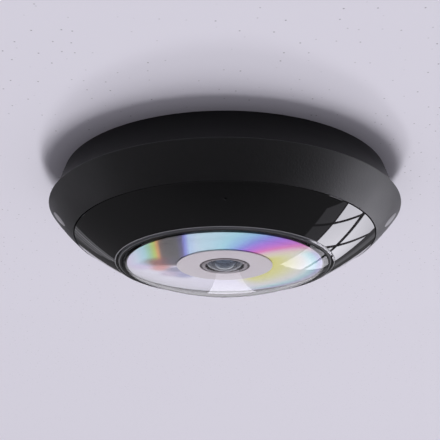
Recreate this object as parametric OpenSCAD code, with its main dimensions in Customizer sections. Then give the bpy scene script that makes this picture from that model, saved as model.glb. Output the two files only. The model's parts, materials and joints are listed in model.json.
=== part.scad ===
// A round ceiling camera with a fisheye lens. It hangs under a ceiling at z = 0, with its
// axis on Z, its dome facing down and its near side facing -Y. Sizes are in millimetres.
// A depth is a distance below the ceiling, so a depth h lies at z = -h.

/* [Outline] */
// Widest radius of the camera body
body_r = 93; // [90:0.5:98]
// Depth of the neck, from the ceiling to the seam
neck_h = 16.4; // [15.5:0.2:19]
// Step from the neck out to the rim of the body
rim_step = 1.8; // [1.4:0.2:2.6]
// Radius that the neck loses from the seam up to the ceiling
neck_taper = 5.2; // [4:0.2:6]
// Rounding of the rim
rim_fillet = 0.7; // [0.4:0.1:1]
// Height of the matte slope below the seam
skirt_h = 15.5; // [14.5:0.25:17]
// How far the matte slope comes in
skirt_run = 13.55; // [12:0.25:15]
// How far the matte slope bows out
skirt_bow = 0.45; // [0.1:0.05:0.8]
// Height of the gloss face
face_h = 13.87; // [13:0.25:15]
// How far the gloss face bows out
face_bow = 0.42; // [0.1:0.05:0.8]
// How far the gloss face comes in, down to the light ring
face_run = 22.05; // [20:0.25:23]
// Width of the clear light ring
ring_w = 2.5; // [2:0.1:3]
// How far the light ring stands out at its inner edge
ring_rise = 0.78; // [0.4:0.05:1.2]
// How far the dome stands out of the ring
dome_rise = 11.95; // [9:0.25:15]

/* [Housing] */
// Wall of the body shell
shell_wall = 2.4; // [2:0.1:2.8]
// Radial width of the ledge under the rear cover
ledge_w = 4.4; // [4:0.2:5]
// Thickness of that ledge
ledge_t = 2.5; // [2:0.25:3]
// Depth of the gloss face's rim in the shell
face_rim_h = 1.7; // [1.5:0.1:2]
// Radial width of the flange under the gloss face
face_seat_w = 4.9; // [4.4:0.1:5.4]
// Thickness of that flange
face_seat_t = 2; // [1.6:0.1:2.4]
// Width of the rubber seal rings
seal_w = 1.6; // [1.2:0.1:2]
// Height of the rubber seal rings
seal_t = 1; // [0.8:0.1:1.2]

/* [Mount base] */
// Thickness of the plate against the ceiling
plate_t = 2.5; // [2:0.25:3]
// Wall of the neck
base_wall = 2.2; // [1.8:0.1:2.6]
// Radius of the cable hole
cable_hole_r = 22; // [18:0.5:25]
// Number of ceiling screws
ceiling_screws = 4; // [3:1:6]
// Distance of the ceiling screws from the neck's edge at the ceiling
ceiling_edge = 22; // [20:1:26]
// Radius of a ceiling screw's hole
ceiling_hole_r = 2.3; // [2:0.1:2.6]
// Spacing of the two slots for a wall box
box_spacing = 83.3; // [80:0.1:86]
// Length of a wall box slot
box_slot_l = 10; // [8:0.5:12]
// Radius of the raised pad round a screw hole
pad_r = 7; // [6:0.25:8]
// Height of the raised pads and of the lip round the cable hole
pad_h = 1.5; // [1:0.25:2]
// Height of the stiffening ribs
rib_h = 2.6; // [2:0.2:3]
// Width of a stiffening rib
rib_w = 1.8; // [1.4:0.2:2.4]
// Number of stiffening ribs
ribs = 12; // [6:1:18]
// Width of the foam seal against the ceiling
foam_w = 4; // [3:0.25:4.5]
// Depth of the groove for the foam seal
foam_t = 1.2; // [1:0.1:1.4]

/* [Twist lock] */
// Number of lock tabs
tabs = 3; // [2:1:4]
// Angle that a lock tab covers
tab_angle = 16; // [12:1:20]
// Depth of the ledges that carry the tabs
lock_h = 9.8; // [9.4:0.1:10.4]
// Thickness of a ledge
lock_t = 2.4; // [2:0.1:2.8]
// Thickness of a tab
tab_t = 2.4; // [2:0.1:2.8]
// Radial width of a ledge, from the neck's wall at the ceiling
lock_w = 2.8; // [2.4:0.1:3.4]
// Radial thickness of a tab's post
post_t = 3.2; // [2.8:0.1:3.8]
// Angle that a stop covers
stop_angle = 3; // [2:0.5:4]
// Angle between a locked tab and its stop
stop_play = 0.3; // [0.2:0.1:0.6]

/* [Rear cover] */
// Thickness of the rear cover
cover_t = 2.6; // [2.4:0.1:3]
// Height of the bosses that carry the main board
boss_h = 4; // [3.6:0.1:4.6]
// Radius of those bosses
boss_r = 3.2; // [2.8:0.1:3.6]
// Width of the cable well
well_w = 17.6; // [16.6:0.2:18.6]
// Wall of the cable well
well_wall = 1.6; // [1.4:0.1:1.8]
// Distance of the cable well from the axis, as a share of the window's radius
well_share = 0.627; // [0.61:0.001:0.65]
// Radius of the cover screws' heads
cover_head_r = 2.7; // [2.5:0.1:2.9]
// Number of cover screws
cover_screw_count = 6; // [3:1:6]

/* [Gloss face] */
// Wall of the gloss face
face_wall = 2.2; // [1.8:0.1:2.5]
// Radius of a microphone's pinhole
pinhole_r = 0.55; // [0.4:0.05:0.7]
// Number of microphones
mics = 4; // [2:1:6]
// Place of the microphones across the face, from its outer edge
mic_share = 0.38; // [0.36:0.01:0.4]
// Thickness of the flange that carries the window
window_seat_t = 1.4; // [1.2:0.1:1.7]
// Radial width of that flange
window_seat_w = 11.4; // [10.8:0.2:12]
// Depth of the light ring in the face
ring_h = 2.15; // [1.8:0.05:2.4]

/* [Window and disc] */
// Wall of the dome
dome_wall = 2.4; // [2:0.1:2.8]
// Thickness of the dome's foot
dome_foot_t = 2.6; // [2.2:0.1:2.8]
// Width of the black gasket round the dome
gasket_w = 0.7; // [0.5:0.05:0.9]
// Gap round the mirror disc
disc_gap = 0.8; // [0.6:0.1:1]
// Thickness of the mirror disc
disc_t = 1.2; // [1:0.05:1.3]
// Setback of the mirror disc behind the window's edge
disc_setback = 0.6; // [0.55:0.05:0.8]
// Thickness of the disc's carrier
carrier_t = 1.1; // [0.9:0.05:1.2]
// Height of the ribs on the carrier
carrier_rib_h = 2; // [1:0.25:2.4]
// Outer radius of the satin bezel round the lens
bezel_r = 25; // [22:0.5:28]
// Width of the bezel's lip over the disc
bezel_lip = 0.9; // [0.6:0.1:1.5]
// Thickness of the bezel's lip
bezel_lip_t = 0.4; // [0.3:0.05:0.5]

/* [Lens] */
// Radius of the lens's front ring
lens_r = 12.8; // [12.4:0.1:13.4]
// Length of the front ring
lens_ring_h = 1.8; // [1.6:0.1:2.2]
// Length of the lens barrel's head
head_h = 6; // [5.8:0.1:6.4]
// Length of the barrel's threaded neck
lens_neck_h = 4; // [3.8:0.1:4.6]
// Radius of the barrel's neck
lens_neck_r = 8; // [7.7:0.1:8.4]
// Radius of the front element
front_r = 10.5; // [10.2:0.1:10.6]
// Radius of curvature of the front element's outer face
front_curve = 17; // [15:0.5:19]
// Thickness of the front element at its centre
front_t = 1.7; // [1.4:0.1:2]
// Radius of curvature of the front element's inner face
front_hollow = 7.6; // [7.2:0.1:8]
// Thickness of the front element's edge
front_edge_t = 2.9; // [2.7:0.05:3]
// Radius of the second element
second_r = 7.2; // [6.8:0.1:7.4]
// Radius of the rear elements
rear_r = 5; // [4.8:0.1:5.3]
// Radius of the aperture
aperture_r = 1.4; // [1:0.1:2]

/* [Day and night filter] */
// Side of a filter's glass
filter_w = 6.6; // [6.4:0.1:7]
// Distance between the two glasses, and the carriage's travel
filter_pitch = 7.4; // [7.2:0.1:7.8]
// Thickness of the filter carriage
carriage_t = 1.4; // [1.2:0.05:1.6]
// Rim of the carriage round its glasses
carriage_rim = 1.2; // [1.1:0.1:1.4]
// Length of the rotor's arm
arm_l = 9; // [8.6:0.1:9.6]
// Radius of the pin on the arm
arm_pin_r = 0.55; // [0.5:0.05:0.65]
// Radius of the rotor's magnet
magnet_r = 4; // [3.6:0.1:4.4]

/* [Boards] */
// Thickness of the main board
main_t = 1.6; // [1.4:0.1:1.8]
// Thickness of the sensor board and the lamp board
thin_board_t = 1.2; // [1:0.1:1.4]
// Thickness of the frame that carries the lamp board
frame_t = 2; // [1.8:0.1:2.2]
// Side of the processor
chip_w = 17; // [14:0.5:19]
// Height of the processor
chip_t = 1.6; // [1.4:0.1:1.8]
// Thickness of the thermal pad
pad_gap = 1; // [0.8:0.1:1.2]
// Number of infrared lamps
lamps = 8; // [6:1:12]
// Number of lamps behind the light ring
ring_lamps = 8; // [4:1:12]

/* [Network jack] */
// Length of the jack
jack_l = 21.5; // [19:0.5:22]
// Width of the jack
jack_w = 16; // [15.6:0.1:16.4]
// Height of the jack
jack_h = 13.5; // [13:0.1:13.8]
// Width of the jack's mouth
mouth_w = 11.9; // [11.7:0.1:12.3]
// Height of the jack's mouth
mouth_h = 8.2; // [7.8:0.1:8.4]
// Depth of the jack's mouth
mouth_l = 15; // [14:0.5:16]

/* [Reset button] */
// Radius of the reset button
button_r = 2.2; // [1.8:0.1:2.6]
// Travel of the reset button
button_travel = 0.5; // [0.3:0.05:0.5]

/* [Side discs] */
// Radius of the plain round disc let into each side
badge_r = 4.5; // [4:0.25:5]
// Thickness of that disc
badge_t = 0.6; // [0.4:0.1:0.8]
// Angle of each disc from the near side
badge_angle = 84.5; // [75:0.5:100]

/* [Clearances] */
// Gap at the seam between the neck and the body
seam_gap = 0.4; // [0.3:0.05:0.5]
// Gap round a piece that drops into another
fit_gap = 0.15; // [0.1:0.01:0.18]
// Gap between pieces that move past each other
run_gap = 0.3; // [0.25:0.01:0.35]
// Gap at a running pin or rail
slide_gap = 0.08; // [0.05:0.01:0.1]

/* [Hidden] */

fine = 96; // facets of the large rounds
small = 24; // facets of the small rounds
cut = 1; // overrun of every cut
arc_steps = 8; // straight pieces in a bowed line

// Depths and radii of the housing
seam_top_h = neck_h - seam_gap / 2;
top_h = neck_h + seam_gap / 2;
neck_low_r = body_r - rim_step;
neck_top_r = neck_low_r - neck_taper;
face_top_h = neck_h + skirt_h;
face_r = body_r - skirt_run;
window_r = face_r - face_run;
window_h = face_top_h + face_h;
edge_h = window_h + ring_rise;
apex_h = edge_h + dome_rise;
ring_in_r = window_r - ring_w;
foot_r = ring_in_r - gasket_w;
dome_foot_in_r = foot_r - dome_foot_t;
cover_bore_r = neck_low_r - shell_wall;
cover_low_h = top_h + cover_t;
ledge_r = cover_bore_r - ledge_w;
seat_h = face_top_h - face_rim_h;
seat_top_h = seat_h - face_seat_t;
seat_r = face_r - face_seat_w;
window_seat_h = window_h - ring_h;
window_seat_top_h = window_seat_h - window_seat_t;
window_seat_r = window_r - window_seat_w;

// The matte slope and the gloss face run between these points, each a radius and a depth
rim_turn = 40; // angle through which the rim's rounding turns below its widest point
rim_centre = [body_r - rim_fillet, top_h + rim_fillet];
rim_end = rim_centre + rim_fillet * [cos(rim_turn), sin(rim_turn)];
skirt_end = [face_r, face_top_h];
face_gap_end = [face_r - run_gap, face_top_h];
window_end = [window_r + fit_gap, window_h];

// Outward normal of the line from a to b, in radius and depth
function out(a, b) = [b[1] - a[1], a[0] - b[0]] / norm(b - a);
// Points from a to b on a line that bows out by s
function bowed(a, b, s) = [for (i = [0:arc_steps])
    let (t = i / arc_steps) a + (b - a) * t + out(a, b) * s * 4 * t * (1 - t)];
// Radius at depth h on the straight line through a and b
function line_r(a, b, h) = a[0] + (b[0] - a[0]) * (h - a[1]) / (b[1] - a[1]);
// Depth at radius r on the straight line through a and b
function line_h(a, b, r) = a[1] + (b[1] - a[1]) * (r - a[0]) / (b[0] - a[0]);
// A point at radius r and angle a
function polar(r, a) = [r * cos(a), r * sin(a)];

skirt_in_a = rim_end - out(rim_end, skirt_end) * shell_wall;
skirt_in_b = skirt_end - out(rim_end, skirt_end) * shell_wall;
face_out = out(face_gap_end, window_end);
face_in_a = face_gap_end - face_out * face_wall;
face_in_b = window_end - face_out * face_wall;
function skirt_in_r(h) = line_r(skirt_in_a, skirt_in_b, h);
function neck_r(h) = neck_top_r + neck_taper * h / neck_h;

// A ring between two depths
module ring(h0, h1, r_in, r_out, fn = fine)
    translate([0, 0, -h1])
        difference() {
            cylinder(h = h1 - h0, r = r_out, $fn = fn);
            translate([0, 0, -cut])
                cylinder(h = h1 - h0 + 2 * cut, r = r_in, $fn = fn);
        }
// A solid round between two depths
module post(h0, h1, r, fn = small)
    translate([0, 0, -h1])
        cylinder(h = h1 - h0, r = r, $fn = fn);
// A box between two depths, centred on the axis
module block(h0, h1, w, l)
    translate([-w / 2, -l / 2, -h1])
        cube([w, l, h1 - h0]);
// A box between two depths with rounded upright edges
module pad(h0, h1, w, l, r)
    translate([0, 0, -h1])
        linear_extrude(h1 - h0)
            rounded(w, l, r);
module rounded(w, l, r) {
    square([w - 2 * r, l], center = true);
    square([w, l - 2 * r], center = true);
    for (x = [-1, 1], y = [-1, 1])
        translate([x * (w / 2 - r), y * (l / 2 - r)])
            circle(r, $fn = small);
}
// A round solid turned from an outline of radii and depths
module turned(points)
    rotate_extrude($fn = fine)
        polygon([for (p = points) [p[0], -p[1]]]);
// Copies round the axis
module around(n, start = 0)
    for (i = [0:n - 1])
        rotate(start + i * 360 / n)
            children();
// A wedge of the space round the axis, from angle a0 to a1
module wedge(a0, a1, h0, h1, r)
    translate([0, 0, -h1])
        linear_extrude(h1 - h0)
            polygon([[0, 0], polar(r, a0), polar(r, (a0 + a1) / 2), polar(r, a1)]);
// A screw whose head lies between depth h0 and its seat at depth h1
module screw(h0, h1, head_r, shank_r, length) {
    difference() {
        post(h0, h1, head_r);
        post(h0 - cut, h0 + (h1 - h0) / 2, shank_r, 6);
    }
    post(h1, h1 + length, shank_r);
}

// The mount base
ceiling_circle_r = neck_top_r - ceiling_edge;
lock_in_r = neck_top_r - base_wall - lock_w;
lock_out_r = neck_r(lock_h) - base_wall / 2;
lip_r = cable_hole_r + 2 * pad_h;
foam_r = neck_top_r - base_wall - 2 * foam_t;
rib_out_r = neck_top_r - base_wall / 2;
post_out_r = lock_in_r - run_gap;
post_in_r = post_out_r - post_t;
tab_out_r = neck_r(lock_h - tab_t) - base_wall - 3 * run_gap;
tab_top_h = lock_h - tab_t - slide_gap;

module neck_wall()
    turned([[cable_hole_r, 0], [neck_top_r, 0], [neck_r(seam_top_h), seam_top_h],
        [neck_r(seam_top_h) - base_wall, seam_top_h], [neck_r(plate_t) - base_wall, plate_t],
        [lip_r, plate_t], [lip_r, plate_t + pad_h], [cable_hole_r, plate_t + pad_h]]);

module mount_base()
    color([0.09, 0.09, 0.1])
    difference() {
        union() {
            neck_wall();
            around(ceiling_screws, 45)
                translate([ceiling_circle_r, 0, 0])
                    post(plate_t / 2, plate_t + pad_h, pad_r);
            for (x = [-1, 1])
                translate([x * box_spacing / 2, 0, 0])
                    pad(plate_t / 2, plate_t + pad_h, box_slot_l + pad_r, pad_r * 2, pad_r / 2);
            around(ribs, 180 / ribs)
                translate([(rib_out_r + lip_r) / 2, 0, 0])
                    block(plate_t / 2, plate_t + rib_h, rib_out_r - lip_r, rib_w);
            around(tabs, 90) {
                intersection() {
                    ring(lock_h, lock_h + lock_t, lock_in_r, lock_out_r);
                    wedge(-tab_angle / 2, tab_angle / 2 + stop_angle, lock_h - cut,
                        lock_h + lock_t + cut, body_r * 2);
                }
                intersection() {
                    ring(plate_t / 2, lock_h + lock_t, lock_in_r, neck_top_r - base_wall / 2);
                    wedge(tab_angle / 2 + stop_play, tab_angle / 2 + stop_angle, 0,
                        lock_h + lock_t + cut, body_r * 2);
                }
            }
        }
        around(ceiling_screws, 45)
            translate([ceiling_circle_r, 0, 0])
                post(-cut, plate_t + rib_h + cut, ceiling_hole_r, 48);
        box_slots();
        ring(-cut, foam_t, foam_r - foam_w, foam_r);
    }

// The two slots that fit the screws of a wall box
module box_slots()
    for (x = [-1, 1])
        translate([x * box_spacing / 2, 0, 0]) {
            block(-cut, plate_t + rib_h + cut, box_slot_l - 2 * ceiling_hole_r, 2 * ceiling_hole_r);
            for (e = [-1, 1])
                translate([e * (box_slot_l / 2 - ceiling_hole_r), 0, 0])
                    post(-cut, plate_t + rib_h + cut, ceiling_hole_r, 48);
        }

module ceiling_foam()
    color([0.2, 0.2, 0.21])
    ring(0, foam_t, foam_r - foam_w + fit_gap, foam_r - fit_gap);

// The rear cover, its lock posts and its cable well
screw_ring_r = ledge_r - cover_head_r * 2 / 3;
shank_r = cover_head_r / 2;
boss_ring_r = cover_head_r + fit_gap * 2;
cover_boss_h = 2 * ledge_t;
board_low_h = cover_low_h + boss_h + main_t;
jack_low_h = board_low_h + jack_h;
well_low_h = jack_low_h + well_wall;
well_y = window_r * well_share;
well_out_w = well_w + 2 * well_wall;
well_far_y = well_y + well_out_w / 2;
well_left = sqrt(pow(window_r - ring_w / 2, 2) - pow(well_far_y, 2));
well_right = well_wall * 4;
well_l = well_left + well_right;
pedestal_h = boss_h - chip_t - pad_gap;
chip_y = -34; // place of the processor, clear of the lens and the well
chip_place = [0, chip_y];
board_r = seat_r - cover_head_r;
button_place = [board_r * 2 / 3, 0];
// Places of the main board's screws, as shares of the board's radius
board_screw_shares = [[-0.66, 0.16], [0.66, 0.22], [-0.5, -0.56], [0.5, -0.56]];

module at_board_screws()
    for (s = board_screw_shares)
        translate([s[0] * board_r, s[1] * board_r, 0])
            children();
module at_cover_screws()
    around(cover_screw_count)
        translate([screw_ring_r, 0, 0])
            children();
module at_well()
    translate([(well_right - well_left) / 2, well_y, 0])
        children();

module rear_cover()
    color([0.13, 0.13, 0.14])
    difference() {
        union() {
            post(top_h, cover_low_h, cover_bore_r - fit_gap, fine);
            around(tabs, 90)
                intersection() {
                    union() {
                        ring(tab_top_h, top_h + cover_t / 2, post_in_r, post_out_r);
                        ring(tab_top_h, tab_top_h + tab_t, post_in_r, tab_out_r);
                    }
                    wedge(-tab_angle / 2, tab_angle / 2, 0, cover_low_h, body_r * 2);
                }
            at_well()
                pad(top_h + cover_t / 2, well_low_h, well_l, well_out_w, well_wall);
            at_board_screws()
                post(top_h + cover_t / 2, cover_low_h + boss_h, boss_r);
            translate([chip_place[0], chip_place[1], 0])
                block(top_h + cover_t / 2, cover_low_h + pedestal_h, chip_w, chip_w);
        }
        at_well() {
            pad(top_h - cut, well_low_h - well_wall, well_l - 2 * well_wall, well_w, well_wall / 2);
            translate([well_l / 2, 0, 0])
                block(mouth_top_h - fit_gap, mouth_top_h + mouth_h + fit_gap, well_wall * 4,
                    mouth_w + 2 * fit_gap);
        }
        at_cover_screws() {
            post(top_h - cut, cover_low_h + cut, shank_r + fit_gap);
            post(top_h - cut, top_h + cover_t / 2, cover_head_r + fit_gap);
        }
        at_board_screws()
            post(cover_low_h, cover_low_h + boss_h + cut, board_shank_r + fit_gap / 2);
        translate([button_place[0], button_place[1], 0]) {
            post(top_h - cut, cover_low_h + cut, button_r + slide_gap, 48);
            post(top_h - cut, top_h + cover_t / 3, button_r * 2, 48);
        }
    }

module cover_screws()
    color([0.55, 0.55, 0.57])
    at_cover_screws()
        screw(top_h, top_h + cover_t / 2, cover_head_r, shank_r, cover_t / 2 + cover_boss_h * 4 / 5);

cover_seal_r = (ledge_r + cover_bore_r + seal_w) / 2;
module cover_seal()
    color([0.16, 0.16, 0.17])
    ring(cover_low_h, cover_low_h + seal_t - slide_gap, cover_seal_r - seal_w + slide_gap,
        cover_seal_r - slide_gap);

// The body shell
badge_share = 0.44; // place of the side discs down the slope
badge_at = rim_end + (skirt_end - rim_end) * badge_share + out(rim_end, skirt_end) * skirt_bow;
badge_tilt = atan2(out(rim_end, skirt_end)[0], out(rim_end, skirt_end)[1]);

// Places a child on the slope, with its Z pointing out of the surface
module at_badges()
    for (a = [-badge_angle, badge_angle])
        rotate(a - 90)
            translate([badge_at[0], 0, -badge_at[1]])
                rotate([0, 180 - badge_tilt, 0])
                    children();

module body_shell()
    color([0.14, 0.14, 0.15])
    difference() {
        union() {
            turned(concat([[cover_bore_r, top_h]],
                [for (a = [-90:(rim_turn + 90) / 6:rim_turn])
                    rim_centre + rim_fillet * [cos(a), sin(a)]],
                [for (p = bowed(rim_end, skirt_end, skirt_bow)) if (p != rim_end) p],
                [[face_r, seat_h], [seat_r, seat_h], [seat_r, seat_top_h],
                    [skirt_in_r(seat_top_h), seat_top_h],
                    [skirt_in_r(cover_low_h + ledge_t), cover_low_h + ledge_t],
                    [ledge_r, cover_low_h + ledge_t], [ledge_r, cover_low_h],
                    [cover_bore_r, cover_low_h]]));
            at_cover_screws()
                post(cover_low_h + fit_gap, cover_low_h + cover_boss_h, boss_ring_r);
        }
        at_cover_screws()
            post(cover_low_h - cut, cover_low_h + cover_boss_h - ledge_t / 4, shank_r + fit_gap / 2);
        ring(cover_low_h - cut, cover_low_h + seal_t, cover_seal_r - seal_w, cover_seal_r);
        at_badges()
            translate([0, 0, -badge_t])
                cylinder(h = badge_t + cut, r = badge_r + fit_gap / 2, $fn = 48);
        around(frame_screw_count, 45)
            translate([frame_screw_r, 0, 0])
                post(seat_top_h - cut, seat_h + cut, small_shank_r + fit_gap / 2);
    }

module side_discs()
    color([0.62, 0.62, 0.64])
    at_badges()
        translate([0, 0, -badge_t])
            cylinder(h = badge_t, r = badge_r, $fn = 48);

// The gloss face
mic_at = face_gap_end + (window_end - face_gap_end) * mic_share
    + face_out * face_bow * 4 * mic_share * (1 - mic_share);
mic_tilt = atan2(face_out[0], face_out[1]);
boot_share = 4.4; // radius of a rubber boot, as a share of the pinhole's
boot_r = pinhole_r * boot_share;
boot_l = boot_r * 6 / 5;
face_inner_w = face_wall + face_bow;

// Places a child on a pinhole, with its Z pointing out of the face
module at_mics()
    around(mics, -90)
        translate([mic_at[0], 0, -mic_at[1]])
            rotate([0, 180 - mic_tilt, 0])
                children();

module face_plate()
    color([0.03, 0.03, 0.035])
    difference() {
        union() {
            turned(concat(bowed(face_gap_end, window_end, face_bow),
                [[window_end[0], window_seat_h], [window_seat_r, window_seat_h],
                    [window_seat_r, window_seat_top_h],
                    [line_r(face_in_a, face_in_b, window_seat_top_h), window_seat_top_h],
                    [seat_r + fit_gap, line_h(face_in_a, face_in_b, seat_r + fit_gap)],
                    [seat_r + fit_gap, seat_h + seal_t - fit_gap],
                    [face_gap_end[0], seat_h + seal_t - fit_gap]]));
            at_mics()
                translate([0, 0, -face_inner_w - boot_l / 2])
                    cylinder(h = boot_l / 2 + face_wall / 2, r = boot_r * 4 / 3, $fn = small);
        }
        at_mics() {
            translate([0, 0, -face_inner_w - boot_l])
                cylinder(h = face_inner_w + boot_l + cut, r = pinhole_r, $fn = small);
            translate([0, 0, -face_inner_w - boot_l])
                cylinder(h = boot_l, r = boot_r + fit_gap / 2, $fn = small);
        }
        around(carrier_screw_count, carrier_start)
            translate([carrier_screw_r, 0, 0])
                post(window_seat_top_h - cut, window_seat_h + cut, small_shank_r + fit_gap / 2);
        around(ring_lamps, 180 / ring_lamps)
            translate([strip_r, 0, 0])
                post(window_seat_top_h - cut, window_seat_h + cut, ring_lamp_w * 3 / 4 + fit_gap);
    }

module face_seal()
    color([0.15, 0.15, 0.16])
    ring(seat_h, seat_h + seal_t - fit_gap, seat_r + fit_gap, face_r - run_gap);

// The window
dome_out_r = (pow(foot_r - fit_gap / 2, 2) + pow(dome_rise, 2)) / (2 * dome_rise);

module light_ring()
    color([0.85, 0.88, 0.92, 0.5])
    turned([[window_r, window_seat_h], [window_r, window_h],
        [ring_in_r + slide_gap, edge_h - slide_gap * 2], [ring_in_r + slide_gap, window_seat_h]]);

module dome_gasket()
    color([0.02, 0.02, 0.02])
    ring(window_seat_h, edge_h, foot_r, ring_in_r);

module dome_window()
    color([0.9, 0.93, 0.97, 0.35]) {
        difference() {
            intersection() {
                translate([0, 0, -(apex_h - dome_out_r)])
                    sphere(dome_out_r, $fn = fine);
                post(edge_h, apex_h + cut, foot_r - fit_gap / 2, fine);
            }
            translate([0, 0, -(apex_h - dome_out_r)])
                sphere(dome_out_r - dome_wall, $fn = fine);
        }
        ring(window_seat_h, edge_h, dome_foot_in_r, foot_r - fit_gap / 2);
    }

// The mirror disc, its carrier and the bezel round the lens
disc_h = edge_h - disc_setback;
disc_top_h = disc_h - disc_t;
disc_r = dome_foot_in_r - disc_gap;
carrier_low_h = disc_top_h;
carrier_r = dome_foot_in_r - fit_gap * 2;
carrier_bore_r = lens_r + run_gap * 2;
disc_bore_r = bezel_r - bezel_lip + fit_gap;
carrier_screw_count = 6;
carrier_start = 15; // angle of the first carrier screw, clear of the ribs
carrier_screw_r = (window_seat_r + carrier_r) / 2 - fit_gap;

module mirror_disc()
    color([0.75, 0.8, 0.85])
    ring(disc_top_h, disc_h, disc_bore_r, disc_r, 128);

module disc_carrier()
    color([0.1, 0.1, 0.11])
    difference() {
        union() {
            ring(window_seat_h, carrier_low_h, carrier_bore_r, carrier_r);
            ring(window_seat_h - carrier_rib_h, window_seat_h + carrier_t / 2, carrier_bore_r,
                carrier_bore_r + carrier_t);
            around(8)
                translate([(carrier_bore_r + window_seat_r) / 2, 0, 0])
                    block(window_seat_h - carrier_rib_h, window_seat_h + carrier_t / 2,
                        window_seat_r - carrier_bore_r - carrier_t, carrier_t);
        }
        around(carrier_screw_count, carrier_start)
            translate([carrier_screw_r, 0, 0])
                post(window_seat_h - cut, carrier_low_h + cut, small_shank_r + slide_gap / 2);
    }

module carrier_screws()
    color([0.5, 0.5, 0.52])
    around(carrier_screw_count, carrier_start)
        translate([carrier_screw_r, 0, 0])
            screw(window_seat_top_h - small_head_h, window_seat_top_h, small_head_r, small_shank_r,
                window_seat_t + (carrier_low_h - window_seat_h) - slide_gap);

module lens_bezel()
    color([0.72, 0.7, 0.72]) {
        ring(carrier_low_h, lens_face_h, lens_r + run_gap, bezel_r - bezel_lip);
        ring(lens_face_h - bezel_lip_t, lens_face_h, lens_r + run_gap, bezel_r);
    }

// The lens, from its front ring back to the sensor
lens_face_h = edge_h - disc_setback + bezel_lip_t + slide_gap;
head_low_h = lens_face_h - lens_ring_h;
head_top_h = head_low_h - head_h;
barrel_top_h = head_top_h - lens_neck_h;
front_seat_h = head_low_h - front_edge_t + fit_gap;
front_sag = front_curve - sqrt(pow(front_curve, 2) - pow(front_r, 2));
front_apex_h = head_low_h + front_sag + fit_gap * 2;
second_seat_h = front_seat_h - front_edge_t;
second_t = front_edge_t - fit_gap;
rear_bore_r = rear_r + slide_gap;
third_h = second_seat_h - fit_gap * 2;
lens_lip_t = carrier_t * 2 / 3;
rear_room = third_h - barrel_top_h - lens_lip_t;
// How the third and fourth elements and the stop share the room behind the second element
rear_shares = [0.46, 0.38, 0.08];
third_t = rear_room * rear_shares[0];
fourth_t = rear_room * rear_shares[1];
stop_t = rear_room * rear_shares[2];

module lens_front_ring()
    color([0.05, 0.05, 0.05])
    turned([[front_r + slide_gap, head_low_h], [lens_r, head_low_h], [lens_r, lens_face_h - fit_gap],
        [lens_r - fit_gap, lens_face_h], [front_r - run_gap, lens_face_h],
        [front_r - run_gap, lens_face_h - fit_gap * 2], [front_r + slide_gap, head_low_h + lens_ring_h / 2]]);

module front_element()
    color([0.3, 0.35, 0.45, 0.4])
    difference() {
        intersection() {
            translate([0, 0, -(front_apex_h - front_curve)])
                sphere(front_curve, $fn = fine);
            post(front_seat_h, front_apex_h + cut, front_r, fine);
        }
        translate([0, 0, -(front_apex_h - front_t - front_hollow)])
            sphere(front_hollow, $fn = fine);
    }

module second_element()
    color([0.4, 0.45, 0.5, 0.4])
    difference() {
        post(second_seat_h, second_seat_h + second_t, second_r, fine);
        translate([0, 0, -(second_seat_h + second_t / 3 - second_r * 3 / 4)])
            sphere(second_r * 3 / 4, $fn = fine);
    }

// A lens that bulges both ways, between two depths
module biconvex(h0, h1, r) {
    bulge = (h1 - h0) / 2;
    curve = (pow(r, 2) + pow(bulge, 2)) / (2 * bulge) * 3 / 2;
    intersection() {
        post(h0, h1, r, fine);
        translate([0, 0, -(h0 + curve)])
            sphere(curve, $fn = 2 * fine);
        translate([0, 0, -(h1 - curve)])
            sphere(curve, $fn = 2 * fine);
    }
}

module third_element()
    color([0.45, 0.5, 0.45, 0.4])
    biconvex(third_h - third_t, third_h, rear_r);

module fourth_element()
    color([0.45, 0.5, 0.45, 0.4])
    biconvex(barrel_top_h + lens_lip_t, barrel_top_h + lens_lip_t + fourth_t, rear_r);

module aperture_stop()
    color([0.05, 0.05, 0.05])
    ring(barrel_top_h + lens_lip_t + fourth_t + slide_gap,
        barrel_top_h + lens_lip_t + fourth_t + slide_gap + stop_t, aperture_r, rear_r, 48);

module lens_barrel()
    color([0.06, 0.06, 0.06])
    turned([[rear_r - fit_gap * 4, barrel_top_h], [lens_neck_r, barrel_top_h], [lens_neck_r, head_top_h],
        [lens_r - run_gap, head_top_h], [lens_r - slide_gap, head_top_h + run_gap],
        [lens_r - slide_gap, head_low_h], [front_r + slide_gap, head_low_h],
        [front_r + slide_gap, front_seat_h], [second_r + slide_gap, front_seat_h],
        [second_r + slide_gap, second_seat_h], [rear_bore_r, second_seat_h],
        [rear_bore_r, barrel_top_h + lens_lip_t], [rear_r - fit_gap * 4, barrel_top_h + lens_lip_t]]);

module lens_lock_ring()
    color([0.65, 0.55, 0.3])
    difference() {
        ring(turret_low_h + slide_gap, head_top_h - slide_gap, lens_neck_r + slide_gap, turret_r);
        around(4)
            translate([turret_r, 0, 0])
                block(turret_low_h - cut, head_top_h + cut, turret_wall * 2 / 3, turret_wall);
    }

// The holder of the lens, which also guides the filter carriage
turret_wall = 2.2; // wall round the lens's neck
holder_plate_t = 1.2; // floor over the filter's slot
sensor_room = 2.6; // room for the sensor under the slot
turret_r = lens_neck_r + turret_wall;
turret_low_h = head_top_h - lens_neck_h / 2;
holder_top_h = barrel_top_h - fit_gap;
slot_low_h = holder_top_h - holder_plate_t;
slot_top_h = slot_low_h - carriage_t - 2 * slide_gap;
sensor_face_h = slot_top_h - sensor_room;
sensor_board_top_h = sensor_face_h - thin_board_t;
carriage_l = filter_w * 2 + (filter_pitch - filter_w) + 2 * carriage_rim;
carriage_w = filter_w + 2 * carriage_rim;
carriage_x = -filter_pitch / 2;
slot_l = carriage_l + filter_pitch + 2 * run_gap;
holder_wall = 1.4; // wall of the holder round the slot
holder_l = slot_l + 2 * holder_wall;
holder_w = carriage_w + 2 * slide_gap + 2 * holder_wall;
sensor_w = 12; // length of the sensor's package
sensor_l = 8.6; // width of the sensor's package
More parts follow.
